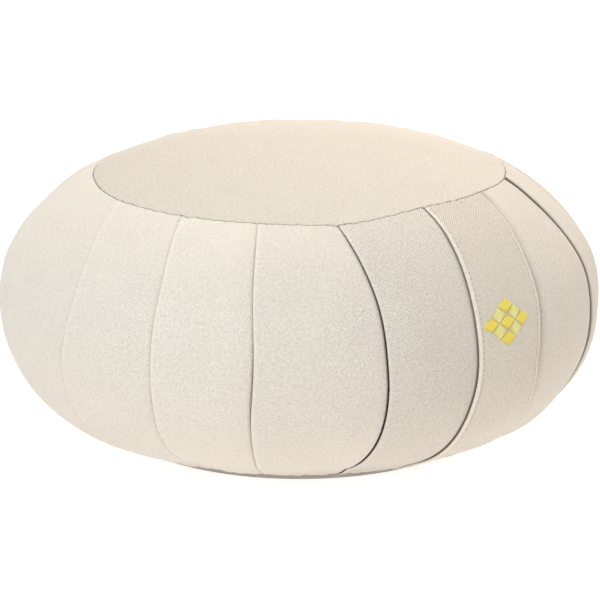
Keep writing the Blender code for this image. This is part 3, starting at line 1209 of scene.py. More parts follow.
@dataclass
class SideWall:
    """The pleated side wall and the filling that it holds, as one closed, padded form.

    On the cloth map, each panel lies panel_offset further right than the last one, and
    panel_rise further up. gape_depth is how much deeper a fold turns in where it gapes, as a
    share. Below the drop lighten_from the cloth grows lighter by foot_lightening.
    """

    form: CushionForm
    relief: Relief
    roll: SeamRoll
    finish: TwillCloth
    main_rows: int = 39
    middle_columns: int = 10
    even_share: float = 0.5
    fold: float = 1.6 * MM
    gape_depth: float = 0.3
    panel_offset: float = 0.113
    panel_rise: float = panel_offset / 3.0
    foot_lightening: float = 0.02
    lighten_from: float = 0.45
    lighten_over: float = 0.40
    crown_shares: tuple[float, ...] = (0.80, 0.45)
    sole_shares: tuple[float, ...] = (0.88, 0.45)

    def rows(self) -> tuple[Array, Array, Array, Array]:
        """The wall's rows, from the cloth tucked into the top seam to that in the foot seam.

        Returns:
            For each row its drop, how far it is moved up the wall, how far it is sunk, and
            how far its folds are pressed shut.
        """
        flat = self.roll.flat_end
        even = np.linspace(0.0, 1.0, self.main_rows)
        spaced = mixed(0.5 - 0.5 * np.cos(math.pi * even), even, self.even_share)
        main = self.form.drop_at(mixed(flat, self.form.wall_length - flat, spaced))
        rolled = self.roll.steps()
        up = [(0.0, -short, down, 0.0) for short, down in reversed(rolled)]
        low = [(1.0, short, down, 0.0) for short, down in rolled]
        table = [(0.0, -self.roll.clear, self.roll.tuck, 1.0), *up]
        table += [(drop, 0.0, 0.0, 0.0) for drop in main]
        table += [*low, (1.0, self.roll.clear, self.roll.tuck, 1.0)]
        drop, along, down, shut = np.array(table).T
        return drop, along, down, shut

    def crossing(self, index: int, drop: Array, shut: Array) -> tuple[Array, Array, Array, Array]:
        """The section over one pleat line, at each row.

        Args:
            index: The line's number.
            drop: Drop of each row.
            shut: How far each row's folds are pressed shut.

        Returns:
            across, out and dark for each row and step, and worn for each step.
        """
        pleat = self.form.pleats[index % len(self.form.pleats)]
        steps = CROSSINGS[pleat.lap]
        across, dip, sink, fold, bed, painted_shade, painted_highlight = np.array(
            [(s.across, s.dip, s.sink, s.fold, s.bed, s.painted_shade, s.painted_highlight) for s in steps]
        ).T
        opened = self.form.opening(drop)[:, None]
        bed_depth = self.form.bed_depth(drop)[:, None]
        gape = pleat.open_share(drop)[:, None]
        deep = pleat.dip * MM * opened * (1.0 + self.gape_depth * gape)
        # The line's painted shade, stronger where it gapes.
        painted_shade = painted_shade * (pleat.shade + gape).clip(0.0, 1.0)
        if pleat.lap is Lap.STRIP_EDGE:
            deep = np.maximum(deep, -bed_depth)
        out = -(dip * deep + sink * pleat.sink * MM * opened + fold * self.fold * opened) + bed * bed_depth
        pressed = np.linspace(across[0], across[-1], len(steps))
        across = mixed(across, pressed, shut[:, None]) * MM
        if pleat.lap is Lap.LEFT:
            across, out, painted_shade, painted_highlight = -across[:, ::-1], out[:, ::-1], painted_shade[:, ::-1], painted_highlight[::-1]
        return across, out, painted_shade, painted_highlight

    def sections(self, drop: Array, shut: Array) -> tuple[Array, Array, Array, Array, Array, Array]:
        """The wall's columns, all the way round.

        Args:
            drop: Drop of each row.
            shut: How far each row's folds are pressed shut.

        Returns:
            angle, out and dark for each row and column, and for each column worn, tone and
            the number of its panel.
        """
        radius = self.form.outline(0.0, drop)[0]
        between = np.arange(1, self.middle_columns + 1) / (self.middle_columns + 1)
        angles, outs, painted_shades, painted_highlights, tones, panels = [], [], [], [], [], []
        for index, pleat in enumerate(self.form.pleats):
            across, out, painted_shade, painted_highlight = self.crossing(index, drop, shut)
            angle = self.form.pleat_angle(index, drop)[:, None] + np.degrees(across / radius[:, None])
            following = self.crossing(index + 1, drop, shut)[0][:, 0]
            end = self.form.pleat_angle(index + 1, drop) + np.degrees(following / radius)
            middle = mixed(angle[:, -1:], end[:, None], between)
            under = self.form.bed_depth(drop) if index == STRIP_LINE else np.zeros_like(drop)
            angles += [angle, middle]
            outs += [out, np.repeat(under[:, None], self.middle_columns, axis=1)]
            # Painted shade on each fold, and full painted shade on the wall under the strip.
            painted_shades += [painted_shade, np.full_like(middle, index == STRIP_LINE)]
            # Painted highlight on each fold's edge.
            painted_highlights += [painted_highlight, np.zeros(self.middle_columns)]
            turn = len(painted_highlight) - 1 - TURN_STEP if pleat.lap is Lap.LEFT else TURN_STEP
            rest = len(painted_highlight) - turn + self.middle_columns
            panels += [index - 1] * turn + [index] * rest
            # Each panel's tone: painted light and shade on the panels in front.
            tones += [self.form.pleats[index - 1].tone] * turn + [pleat.tone] * rest
        angle, out, painted_shade = (np.concatenate(columns, axis=1) for columns in (angles, outs, painted_shades))
        return angle, out, painted_shade, np.concatenate(painted_highlights), np.array(tones), np.array(panels)

    def cage(self) -> bpy.types.Object:
        """The open sheet of the wall, before it is subdivided.

        Returns:
            The object, with its cloth map and its dark, worn and tone attributes.
        """
        drop, along, down, shut = self.rows()
        angle, out, painted_shade, painted_highlight, tone, panels = self.sections(drop, shut)
        out = mixed(out - down[:, None], -self.roll.tuck, shut[:, None])
        points = self.form.place(angle, drop[:, None], out, along[:, None])
        made = new_object("side_wall", points.reshape(-1, 3), grid_faces(*angle.shape))
        # Painted shade in the folds and in the seam's groove, and painted highlight on the folded edges,
        # kept out of the groove.
        groove = self.roll.shade(down[:, None], self.relief.pucker(angle))
        # The cloth grows lighter towards the foot.
        lightened = self.foot_lightening * eased((drop - self.lighten_from) / self.lighten_over)
        set_attribute(made.data, "painted_shade", np.maximum(painted_shade, groove))
        set_attribute(made.data, "painted_highlight", painted_highlight * (1.0 - groove))
        set_attribute(made.data, "tone", tone + lightened[:, None])
        self.map_cloth(made.data, angle, drop, along, panels)
        return made

    def map_cloth(
        self, mesh: bpy.types.Mesh, angle: Array, drop: Array, along: Array, panels: Array
    ) -> None:
        """Lays the cloth map on the cage, with its grain straight down the wall from seam to seam.

        It is in metres, to the right of the middle of each panel's belly, and up.

        Args:
            mesh: The cage's mesh.
            angle: The angle of each row and column.
            drop: Drop of each row.
            along: How far each row is moved up.
            panels: The panel that the faces to the right of each column belong to.
        """
        radius = self.form.outline(0.0, drop)[0][:, None]
        lines = [(int(panel), int(panel) + 1) for panel in panels]
        edges = [[self.form.pleat_angle(line, np.array(0.5)) for line in pair] for pair in lines]
        centre = np.array(edges).mean(axis=1)
        right = np.concatenate((angle[:, 1:], angle[:, :1] + FULL_TURN), axis=1)
        offset = panels * self.panel_offset
        left_u = np.radians(angle - centre) * radius + offset
        right_u = np.radians(right - centre) * radius + offset
        v = (along - self.form.length_at(drop))[:, None] + panels * self.panel_rise
        corners = (
            (left_u[:-1], v[:-1]),
            (left_u[1:], v[1:]),
            (right_u[1:], v[1:]),
            (right_u[:-1], v[:-1]),
        )
        set_cloth_map(mesh, np.stack([np.stack(corner, axis=-1) for corner in corners], axis=2))

    def close_ends(self, made: bpy.types.Object) -> None:
        """Closes the wall over its filling, under the top panel and above the bottom one.

        Args:
            made: The subdivided wall, open at both seams.
        """
        mesh = bmesh.new()
        mesh.from_mesh(made.data)
        rim = [edge for edge in mesh.edges if edge.is_boundary]
        lining = self.form.lining_depth
        ends = (
            (True, self.form.crown, self.crown_shares, -lining),
            (False, self.form.sole, self.sole_shares, lining),
        )
        for upper, surface, shares, lift in ends:
            loop = [edge for edge in rim if (edge.verts[0].co.z > self.form.belly_height) == upper]
            for share in shares:
                ring, loop = extruded(mesh, loop)
                angle = angle_round(np.array([point.co[:] for point in ring]))
                radius, level = surface(angle, np.full_like(angle, share))
                move_points(ring, around_axis(angle, radius, level + lift))
            bmesh.ops.contextual_create(mesh, geom=loop)
        close_outwards(mesh)
        mesh.to_mesh(made.data)
        mesh.free()

    def build(self) -> bpy.types.Object:
        """Makes and dresses the side wall.

        Returns:
            The finished wall.
        """
        made = self.cage()
        apply_modifier(made, "SUBSURF", {"levels": 1, "render_levels": 1})
        set_points(made.data, self.relief.on_wall(get_points(made.data)))
        self.close_ends(made)
        made.data.shade_smooth()
        dress(made, self.finish, WALL_NODE)
        return made


def bend_to_circle(x: float, y: float) -> tuple[float, float]:
    """Bends the squares about the middle of a grid into circles.

    Args:
        x: A point's place to the right of the middle.
        y: Its place behind the middle.

    Returns:
        The place that it moves to.
    """
    share = max(abs(x), abs(y))
    if share == 0.0:
        return 0.0, 0.0
    side = abs(x) >= abs(y)
    turn = math.pi / 4.0 * (y / x if side else x / y)
    bend = turn if side else math.pi / 2.0 - turn
    reach = math.copysign(share, x if side else y)
    return reach * math.cos(bend), reach * math.sin(bend)


@dataclass
class RoundPanel:
    """One of the two round panels: an even grid in the middle, and rings out to its rim.

    name and node are those of the piece and of the solid that it stands for. sign is 1 where
    the panel faces up, and -1 where it faces down.
    """

    form: CushionForm
    relief: Relief
    roll: SeamRoll
    finish: TwillCloth
    cloth: float = 0.8 * MM
    columns: int = 320
    inner_share: float = 0.70
    rings: int = 17
    slope_step: float = 0.01

    name: ClassVar[str]
    node: ClassVar[str]
    slot: ClassVar[str]
    sign: ClassVar[float]

    @property
    def flat_radius(self) -> float:
        """The radius of the disc that the panel is cut from."""
        raise NotImplementedError

    def surface(self, angle: Array, share: Array) -> tuple[Array, Array]:
        """Radius and height of the panel's outer face."""
        raise NotImplementedError

    def lifted(self, points: Array, share: Array) -> Array:
        """The points with the panel's own unevenness."""
        raise NotImplementedError

    def shaded(self, share: Array) -> Array:
        """How much painted shade greys the panel where the cushion shades it."""
        return np.zeros_like(share)

    def toned(self, points: Array) -> Array:
        """How much lighter the cloth is at each point than the rest."""
        return np.zeros(len(points))

    def rim_rows(self) -> list[tuple[float, float, float]]:
        """The rows outside the middle grid.

        Returns:
            For each, its share of the way out, and how far back and down it is moved.
        """
        flat = 1.0 - self.roll.flat_end / self.form.seam_radius
        rows = [(share, 0.0, 0.0) for share in np.linspace(self.inner_share, flat, self.rings + 1)[1:]]
        rows += [(1.0, short, down) for short, down in self.roll.steps()]
        return [*rows, (1.0, self.roll.clear, self.roll.tuck - self.cloth)]

    def ring(self, angle: Array, share: float, short: float, down: float) -> Array:
        """A ring's points, which past the rim roll down into the seam.

        Args:
            angle: Their angles.
            share: Their share of the way out.
            short: How far back they are moved along the surface.
            down: How far they are moved into the cushion.

        Returns:
            The points, one to a row.
        """
        radius, level = self.surface(angle, np.full_like(angle, share))
        inner = self.surface(angle, np.full_like(angle, share - self.slope_step))
        run, rise = radius - inner[0], level - inner[1]
        size = np.hypot(run, rise)
        run, rise = run / size, rise / size
        radius = radius - run * short + rise * self.sign * down
        level = level - rise * short - run * self.sign * down
        return around_axis(angle, radius, level)

    def disc(self) -> tuple[bmesh.types.BMesh, Array, Array]:
        """The panel's outer face.

        Returns:
            The mesh, and for each point its share of the way out and the groove's depth.
        """
        mesh = bmesh.new()
        cells = self.columns // 4
        bmesh.ops.create_grid(mesh, x_segments=cells, y_segments=cells, size=1.0)
        square = np.array([point.co[:2] for point in mesh.verts])
        shares = np.abs(square).max(axis=1) * self.inner_share
        angle = angle_round(np.array([bend_to_circle(x, y) for x, y in square]))
        move_points(mesh.verts, around_axis(angle, *self.surface(angle, shares)))
        shares, depths = list(shares), [0.0] * len(shares)
        loop = [edge for edge in mesh.edges if edge.is_boundary]
        for share, short, down in self.rim_rows():
            ring, loop = extruded(mesh, loop)
            angle = angle_round(np.array([point.co[:] for point in ring]))
            move_points(ring, self.ring(angle, share, short, down))
            shares += [share] * len(ring)
            depths += [down] * len(ring)
        return mesh, np.array(shares), np.array(depths)

    def build(self) -> bpy.types.Object:
        """Makes and dresses the panel.

        Returns:
            The finished panel.
        """
        mesh, share, depth = self.disc()
        data = bpy.data.meshes.new(self.name)
        mesh.normal_update()
        if sum(face.normal.z * self.sign for face in mesh.faces) < 0.0:
            bmesh.ops.reverse_faces(mesh, faces=mesh.faces)
        mesh.to_mesh(data)
        mesh.free()
        made = put_in_scene(self.name, data)
        points = get_points(data)
        set_cloth_map(data, points[point_numbers(data)][:, :2])
        # Painted shade in the seam's groove, and on the bottom panel at its rim.
        groove = self.roll.shade(depth, self.relief.pucker(angle_round(points)))
        set_attribute(data, "painted_shade", np.maximum(groove, self.shaded(share)))
        set_attribute(data, "tone", self.toned(points))
        set_points(data, self.lifted(points, share))
        apply_modifier(made, "SOLIDIFY", {"thickness": self.cloth, "offset": -1.0})
        data.shade_smooth()
        dress(made, self.finish, self.node)
        return made


class TopPanel(RoundPanel):
    """The crowned panel on top, stretched over the filling.

    bleached is the painted light that makes it lighter at the back, and right_share how much of
    that it is at the right.
    """

    name = "crown_panel"
    node = "top_panel"
    slot = "top_cloth"
    sign = 1.0
    lightened: ClassVar[float] = 0.17
    right_share: ClassVar[float] = 0.4

    @property
    def flat_radius(self) -> float:
        """The radius of the disc that the panel is cut from, the top seam's."""
        return self.form.seam_radius

    def surface(self, angle: Array, share: Array) -> tuple[Array, Array]:
        """Radius and height of the crown."""
        return self.form.crown(angle, share)

    def lifted(self, points: Array, share: Array) -> Array:
        """The points with the filling's lumps and the seam's puckers."""
        return points + self.relief.on_panel(points, share)[:, None] * UP

    def toned(self, points: Array) -> Array:
        """Painted light, lighter towards the back and the right."""
        reach = self.right_share * points[:, 0] + np.maximum(points[:, 1], 0.0)
        return self.lightened * reach / self.form.seam_radius


class BottomPanel(RoundPanel):
    """The panel underneath, pressed flat by the floor.

    rim_shade is how far painted shade greys its edge, past shade_from.
    """

    name = "floor_panel"
    node = "bottom_panel"
    slot = "bottom_cloth"
    sign = -1.0
    rim_shade: ClassVar[float] = 0.50
    shade_from: ClassVar[float] = 0.80
    shade_over: ClassVar[float] = 0.12

    @property
    def flat_radius(self) -> float:
        """The radius of the disc that the panel is cut from, the foot seam's."""
        return self.form.foot_radius

    def surface(self, angle: Array, share: Array) -> tuple[Array, Array]:
        """Radius and height of the underside."""
        return self.form.sole(angle, share)

    def lifted(self, points: Array, share: Array) -> Array:
        """The points, flat where they rest, with puckers where the cloth curls up.

        Args:
            points: Points on the panel, one to a row.
            share: How far out to the seam each one lies.

        Returns:
            The moved points.
        """
        curled = eased((share - self.form.flat_share) / (1.0 - self.form.flat_share))
        lower = curled * self.relief.foot_pucker * self.relief.pucker(angle_round(points))
        return points - lower[:, None] * UP

    def shaded(self, share: Array) -> Array:
        """Greyed with painted shade where it curls up off the floor."""
        return self.rim_shade * eased((share - self.shade_from) / self.shade_over)


@dataclass(frozen=True)
class HemStep:
    """A point of the strip's section near an edge.

    place is in shares of the way from the edge to the stitching, and rise in millimetres.
    pull is its share of the stitch's pull, dark its share of the painted shade in the stitch groove, and
    worn its share of the painted highlight on the folded edge.
    """

    place: float
    rise: float
    pull: float = 0.0
    painted_shade: float = 0.0
    painted_highlight: float = 0.0


# The strip's hem: a painted highlight along its folded edge, and painted shade in its stitch groove.
HEM = (
    HemStep(0.0, -0.60, painted_highlight=0.6),
    HemStep(0.05, -0.25, painted_highlight=1.5),
    HemStep(0.18, 0.06, painted_highlight=2.2),
    HemStep(0.42, 0.22, painted_highlight=2.1),
    HemStep(0.70, 0.14, painted_highlight=0.8),
    HemStep(0.90, -0.10, pull=0.6, painted_shade=0.10),
    HemStep(1.0, -0.24, pull=1.0, painted_shade=0.60),
    HemStep(1.10, -0.10, pull=0.6, painted_shade=0.10),
    HemStep(1.32, 0.03, pull=0.2),
    HemStep(1.8, 0.0),
)


@dataclass
class ClosingStrip:
    """The hemmed strip that covers the join in the side wall, sewn down near both edges."""

    form: CushionForm
    relief: Relief
    roll: SeamRoll
    finish: TwillCloth
    left_hem: float = 3.0 * MM
    right_hem: float = 2.2 * MM
    stitch: float = 3.0 * MM
    rows_per_stitch: int = 4
    middle_columns: int = 9
    inner_columns: int = 8
    pull: float = 0.22 * MM
    inset: float = 0.005
    least_cloth: float = 0.1 * MM
    shade_between: float = 0.25
    flat_width: float = 0.047
    top_tone: float = -0.075
    foot_tone: float = 0.050

    def width(self, drop: Array) -> Array:
        """The strip's width.

        Args:
            drop: Places down the wall.

        Returns:
            The width at each.
        """
        radius = self.form.outline(0.0, drop)[0]
        left, right = (self.form.pleat_angle(STRIP_LINE + side, drop) for side in (0, 1))
        return np.radians(right - left) * radius

    def angle(self, drop: Array, from_left: Array) -> Array:
        """The angle at a distance from the strip's left edge."""
        radius = self.form.outline(0.0, drop)[0]
        return self.form.pleat_angle(STRIP_LINE, drop) + np.degrees(from_left / radius)

    def place(self, length: Array, from_left: Array, rise: Array = 0.0) -> Array:
        """Points on the strip's outer face.

        Args:
            length: Lengths down from the top seam.
            from_left: Distances from the strip's left edge.
            rise: Heights above its face.

        Returns:
            The points, with the wall's unevenness.
        """
        drop = self.form.drop_at(length)
        points = self.form.place(self.angle(drop, from_left), drop, self.form.strip_top(drop) + rise)
        return self.relief.on_wall(points.reshape(-1, 3)).reshape(points.shape)

    def rows(self) -> tuple[Array, Array, Array, Array]:
        """The strip's rows.

        Returns:
            For each its drop, how far it is moved up the wall, how far it is sunk, and how
            near it is to a needle hole.
        """
        flat = self.roll.flat_end
        step = self.stitch / self.rows_per_stitch
        first = math.ceil(flat / step)
        last = math.floor((self.form.wall_length - flat) / step)
        lengths = np.arange(first, last + 1) * step
        hole = (0.5 + 0.5 * np.cos(2.0 * math.pi * lengths / self.stitch)) ** 2
        main = zip(self.form.drop_at(lengths), hole)
        rolled = self.roll.steps()
        table = [(0.0, -short, down, 0.0) for short, down in reversed(rolled)]
        table += [(drop, 0.0, 0.0, near) for drop, near in main]
        table += [(1.0, short, down, 0.0) for short, down in rolled]
        drop, along, down, near = np.array(table).T
        return drop, along, down, near

    def section(self, drop: Array, down: Array, near: Array) -> tuple[Array, Array, Array, Array]:
        """The strip's closed section, along its face and back under it.

        Args:
            drop: Drop of each row.
            down: How far each row is sunk.
            near: How near each row is to a needle hole.

        Returns:
            from_left, out and dark for each row and column, and worn for each column.
        """
        width = self.width(drop)[:, None]
        place, rise, pull, painted_shade, painted_highlight = np.array([(h.place, h.rise, h.pull, h.painted_shade, h.painted_highlight) for h in HEM]).T
        left = np.repeat((place * self.left_hem)[None, :], len(drop), axis=0)
        right = (width - place * self.right_hem)[:, ::-1]
        between = np.arange(1, self.middle_columns + 1) / (self.middle_columns + 1)
        middle = mixed(left[:, -1:], right[:, :1], between)
        under = np.linspace(1.0 - self.inset, self.inset, self.inner_columns) * width
        flat, inside = np.zeros(self.middle_columns), np.zeros(self.inner_columns)
        shape = np.concatenate((rise, flat, rise[::-1])) * MM
        pulled = np.concatenate((pull, flat, pull[::-1])) * self.pull * near[:, None]
        top = self.form.strip_top(drop)[:, None]
        outer = top + self.form.opening(drop)[:, None] * (shape - pulled) - down[:, None]
        inner = np.repeat(top - self.form.strip_cloth, self.inner_columns, axis=1)
        out = np.concatenate((outer, np.minimum(inner, outer[:, :1] - self.least_cloth)), axis=1)
        # Painted shade in the stitch grooves, strongest at each needle hole.
        shaded = mixed(self.shade_between, 1.0, near[:, None])
        painted_shade = np.concatenate((painted_shade, flat, painted_shade[::-1], inside)) * shaded
        painted_highlight = np.concatenate((painted_highlight, flat, painted_highlight[::-1], inside))
        return np.concatenate((left, middle, right, under), axis=1), out, painted_shade, painted_highlight

    def build(self) -> bpy.types.Object:
        """Makes and dresses the strip.

        Returns:
            The finished strip.
        """
        drop, along, down, near = self.rows()
        from_left, out, painted_shade, painted_highlight = self.section(drop, down, near)
        columns = from_left.shape[1]
        points = self.form.place(self.angle(drop[:, None], from_left), drop[:, None], out, along[:, None])
        points = self.relief.on_wall(points.reshape(-1, 3))
        faces = grid_faces(*from_left.shape)
        faces.append(list(range(columns)))
        faces.append(list(range(len(points) - 1, len(points) - columns - 1, -1)))
        made = new_object("closing_strip", points, faces)
        # Painted shade where the strip's ends roll into the seams.
        groove = self.roll.shade(down, np.zeros_like(down))[:, None]
        tone = mixed(self.top_tone, self.foot_tone, drop)[:, None]
        set_attribute(made.data, "painted_shade", np.maximum(painted_shade, groove))
        set_attribute(made.data, "painted_highlight", painted_highlight * (1.0 - groove))
        set_attribute(made.data, "tone", np.repeat(tone, columns, axis=1))
        height = np.repeat((along - self.form.length_at(drop))[:, None], columns, axis=1)
        places = np.stack((from_left - self.width(drop)[:, None] / 2.0, height), axis=-1)
        set_cloth_map(made.data, places.reshape(-1, 2)[point_numbers(made.data)])
        dress(made, self.finish, "closure_strip")
        flat = (self.flat_width, self.form.wall_length)
        return made


@dataclass
class ThreadBeads:
    """Short lengths of thread, each a copy of one rounded bead, joined as one mesh."""

    sides: int = 8
    rings: int = 7
    bluntness: float = 4.0
    blunt_end: float = 0.97

    def bead(self) -> tuple[Array, Array]:
        """A bead two units long on X and two across, rounded at its ends.

        Returns:
            Its points, and its faces as rows of four point numbers.
        """
        bpy.ops.object.select_all(action="DESELECT")
        bpy.ops.mesh.primitive_cylinder_add(
            vertices=self.sides,
            radius=1.0,
            depth=2.0,
            end_fill_type="TRIFAN",
            rotation=(0.0, math.pi / 2.0, 0.0),
        )
        start = bpy.context.object
        bpy.ops.object.transform_apply(location=False, rotation=True, scale=False)
        mesh = bmesh.new()
        mesh.from_mesh(start.data)
        long_edges = [e for e in mesh.edges if abs(e.verts[0].co.x - e.verts[1].co.x) > 1.0]
        bmesh.ops.subdivide_edges(mesh, edges=long_edges, cuts=self.rings)
        for vert in mesh.verts:
            slim = (1.0 - min(abs(vert.co.x), self.blunt_end) ** self.bluntness) ** 0.5
            vert.co.y *= slim
            vert.co.z *= slim
        bmesh.ops.triangulate(mesh, faces=mesh.faces)
        points = np.array([vert.co[:] for vert in mesh.verts])
        faces = np.array([[vert.index for vert in face.verts] for face in mesh.faces])
        mesh.free()
        bpy.data.objects.remove(start)
        return points, faces

    def joined(self, name: str, origins: Array, ahead: Array, up: Array, sizes: Array) -> bpy.types.Object:
        """One mesh of all the threads.

        Args:
            name: Name of the piece.
            origins: The middle of each thread.
            ahead: The way each one runs.
            up: The way it stands off the cloth.
            sizes: Half its length, width and thickness.

        Returns:
            The object.
        """
        points, faces = self.bead()
        ahead = ahead / np.linalg.norm(ahead, axis=1, keepdims=True)
        up = up - ahead * (up * ahead).sum(axis=1, keepdims=True)
        up = up / np.linalg.norm(up, axis=1, keepdims=True)
        side = np.cross(up, ahead)
        scaled = points[None, :, :] * sizes[:, None, :]
        axes = np.stack((ahead, side, up), axis=1)
        placed = np.einsum("nki,nij->nkj", scaled, axes) + origins[:, None, :]
        shift = (np.arange(len(origins)) * len(points))[:, None, None]
        return new_object(name, placed.reshape(-1, 3), (faces[None] + shift).reshape(-1, 3).tolist())


@dataclass
class SeamStitching:
    """The stitches that show in the grooves of the top seam and the foot seam."""

    form: CushionForm
    relief: Relief
    finish: ThreadFinish
    pitch: float = 3.2 * MM
    length: float = 1.9 * MM
    thickness: float = 0.5 * MM
    depth: float = 0.55 * MM

    def in_groove(self, angle: Array, drop: float) -> Array:
        """Points in a seam's groove, with the seam's own puckers."""
        return self.relief.on_wall(self.form.place(angle, np.full_like(angle, drop), -self.depth))

    def build(self, name: str, drop: float, radius: float, slot: str) -> bpy.types.Object:
        """Sews one seam.

        Args:
            name: Name of the piece.
            drop: 0 for the top seam and 1 for the foot seam.
            radius: The seam's usual radius.
            slot: The record's slot of the cloth that the thread matches; it is not used.

        Returns:
            The stitches.
        """
        count = round(2.0 * math.pi * radius / self.pitch)
        angle = np.arange(count) * FULL_TURN / count
        half_turn = math.degrees(self.length / 2.0 / radius)
        ahead = self.in_groove(angle + half_turn, drop) - self.in_groove(angle - half_turn, drop)
        middle = self.in_groove(angle, drop)
        up = self.form.wall_coordinates(middle)[2]
        size = np.tile((self.length / 2.0, self.thickness / 2.0, self.thickness / 2.0), (count, 1))
        made = ThreadBeads().joined(name, middle, ahead, up, size)
        dress(made, self.finish)
        return made


@dataclass
class Topstitching:
    """The two lines of stitches that hold the strip down."""

    strip: ClosingStrip
    finish: ThreadFinish
    length: float = 2.25 * MM
    width: float = 0.50 * MM
    thickness: float = 0.34 * MM
    sunk: float = 0.20 * MM

    def on_line(self, length: Array, right: bool, rise: float = 0.0) -> Array:
        """Points on one of the two lines.

        Args:
            length: Lengths down from the top seam.
            right: Whether it is the right line.
            rise: How far they stand off the strip.

        Returns:
            The points, one to a row.
        """
        from_left = np.full_like(length, self.strip.left_hem)
        if right:
            from_left = self.strip.width(self.strip.form.drop_at(length)) - self.strip.right_hem
        return self.strip.place(length, from_left, rise)

    def build(self) -> bpy.types.Object:
        """Sews both lines.

        Returns:
            The stitches, as one piece.
        """
        form = self.strip.form
        count = int(form.wall_length / self.strip.stitch) - 1
        lengths = (np.arange(count) + 0.5) * self.strip.stitch
        half = self.length / 2.0
        middles, aheads = [], []
        for right in (False, True):
            aheads.append(self.on_line(lengths + half, right) - self.on_line(lengths - half, right))
            middles.append(self.on_line(lengths, right, -self.sunk))
        middle, ahead = np.concatenate(middles), np.concatenate(aheads)
        up = form.wall_coordinates(middle)[2]
        size = np.tile((half, self.width / 2.0, self.thickness / 2.0), (len(middle), 1))
        made = ThreadBeads().joined("strip_topstitching", middle, ahead, up, size)
        dress(made, self.finish)
        return made


@dataclass
class Ornament:
    """A small diamond of satin-stitched lozenges, in the middle of the strip.

    Threads lie a thread apart, and half_width is half the width of each, in threads. filled
    is how much of its cell of the diamond each lozenge fills.
    """

    strip: ClosingStrip
    finishes: tuple[ThreadFinish, ThreadFinish]
    centre_drop: float = 0.375
    left_shift: float = 3.5 * MM
    width: float = 34.0 * MM
    height: float = 25.0 * MM
    lozenges: int = 3
    filled: float = 0.94
    thread: float = 0.42 * MM
    half_width: float = 0.56
    pad: float = 0.32 * MM
    beads: ThreadBeads = field(default_factory=lambda: ThreadBeads(rings=5, bluntness=3.0))

    def lozenge(self, middle_x: float, middle_y: float, upright: bool) -> tuple[Array, Array]:
        """The threads of one lozenge, in flat sizes to the right and up from the middle.

        Args:
            middle_x: Its middle to the right.
            middle_y: Its middle upwards.
            upright: Whether its threads run up and down.

        Returns:
            Both ends of each thread.
        """
        half = np.array((self.width, self.height)) / self.lozenges / 2.0 * self.filled
        wide, tall = half if upright else half[::-1]
        places = np.arange(-wide + self.thread, wide - self.thread / 2.0, self.thread)
        reach = tall * (1.0 - np.abs(places) / wide)
        ends = [np.stack((places, way * reach), axis=-1) for way in (-1.0, 1.0)]
        if not upright:
            ends = [end[:, ::-1] for end in ends]
        return tuple(end + (middle_x, middle_y) for end in ends)

    def on_strip(self, flat: Array, rise: float) -> Array:
        """Points on the strip's face.

        Args:
            flat: Sizes to the right and up from the ornament's middle, one pair to a row.
            rise: How far they stand off the strip.

        Returns:
            The points, one to a row.
        """
        form = self.strip.form
        length = form.length_at(self.centre_drop) - flat[:, 1]
        middle = self.strip.width(form.drop_at(length)) / 2.0 - self.left_shift
        return self.strip.place(length, middle + flat[:, 0], rise)

    def build(self) -> list[bpy.types.Object]:
        """Stitches the lozenges, one piece for each colour of thread.

        Returns:
            The two pieces.
        """
        half_x, half_y = self.width / self.lozenges / 2.0, self.height / self.lozenges / 2.0
        cells = [(i, j) for i in range(self.lozenges) for j in range(self.lozenges)]
        made = []
        for tone, finish in enumerate(self.finishes):
            threads = [
                self.lozenge((i - j) * half_x, (i + j + 1 - self.lozenges) * half_y, tone == 0)
                for i, j in cells
                if (i + j) % 2 == tone
            ]
            start, end = (np.concatenate(side) for side in zip(*threads))
            places = (start, end, (start + end) / 2.0)
            low, high, middle = (self.on_strip(flat, self.pad / 2.0) for flat in places)
            up = self.strip.form.wall_coordinates(middle)[2]
            long = np.linalg.norm(high - low, axis=1) / 2.0
            wide = np.full_like(long, self.thread * self.half_width)
            size = np.stack((long, wide, np.full_like(long, self.pad)), axis=-1)
            name = f"ornament_{finish.name.split()[0]}"
            piece = self.beads.joined(name, middle, high - low, up, size)
            dress(piece, finish)
            made.append(piece)
        return made


@dataclass(frozen=True)
class SoftLight:
    """A square soft light that points at the cushion.

    turn is its angle round the cushion, and rise its angle above the floor. It stands at
    distance and is size wide. Its power is in watts.
    """

    name: str
    turn: float
    rise: float
    distance: float
    size: float
    power: float
    colour: Colour


LIGHTS = (
    SoftLight("key", -30.0, 50.0, 1.6, 0.8, 15.3, (0.64, 0.84, 1.0)),
    SoftLight("top", 0.0, 88.0, 1.7, 1.2, 9.6, (1.0, 0.82, 0.70)),
    SoftLight("back", 180.0, 45.0, 1.7, 1.0, 12.0, (1.0, 0.86, 0.75)),
    SoftLight("back_right", 130.0, 40.0, 1.7, 1.0, 6.0, (1.0, 0.98, 0.86)),
)


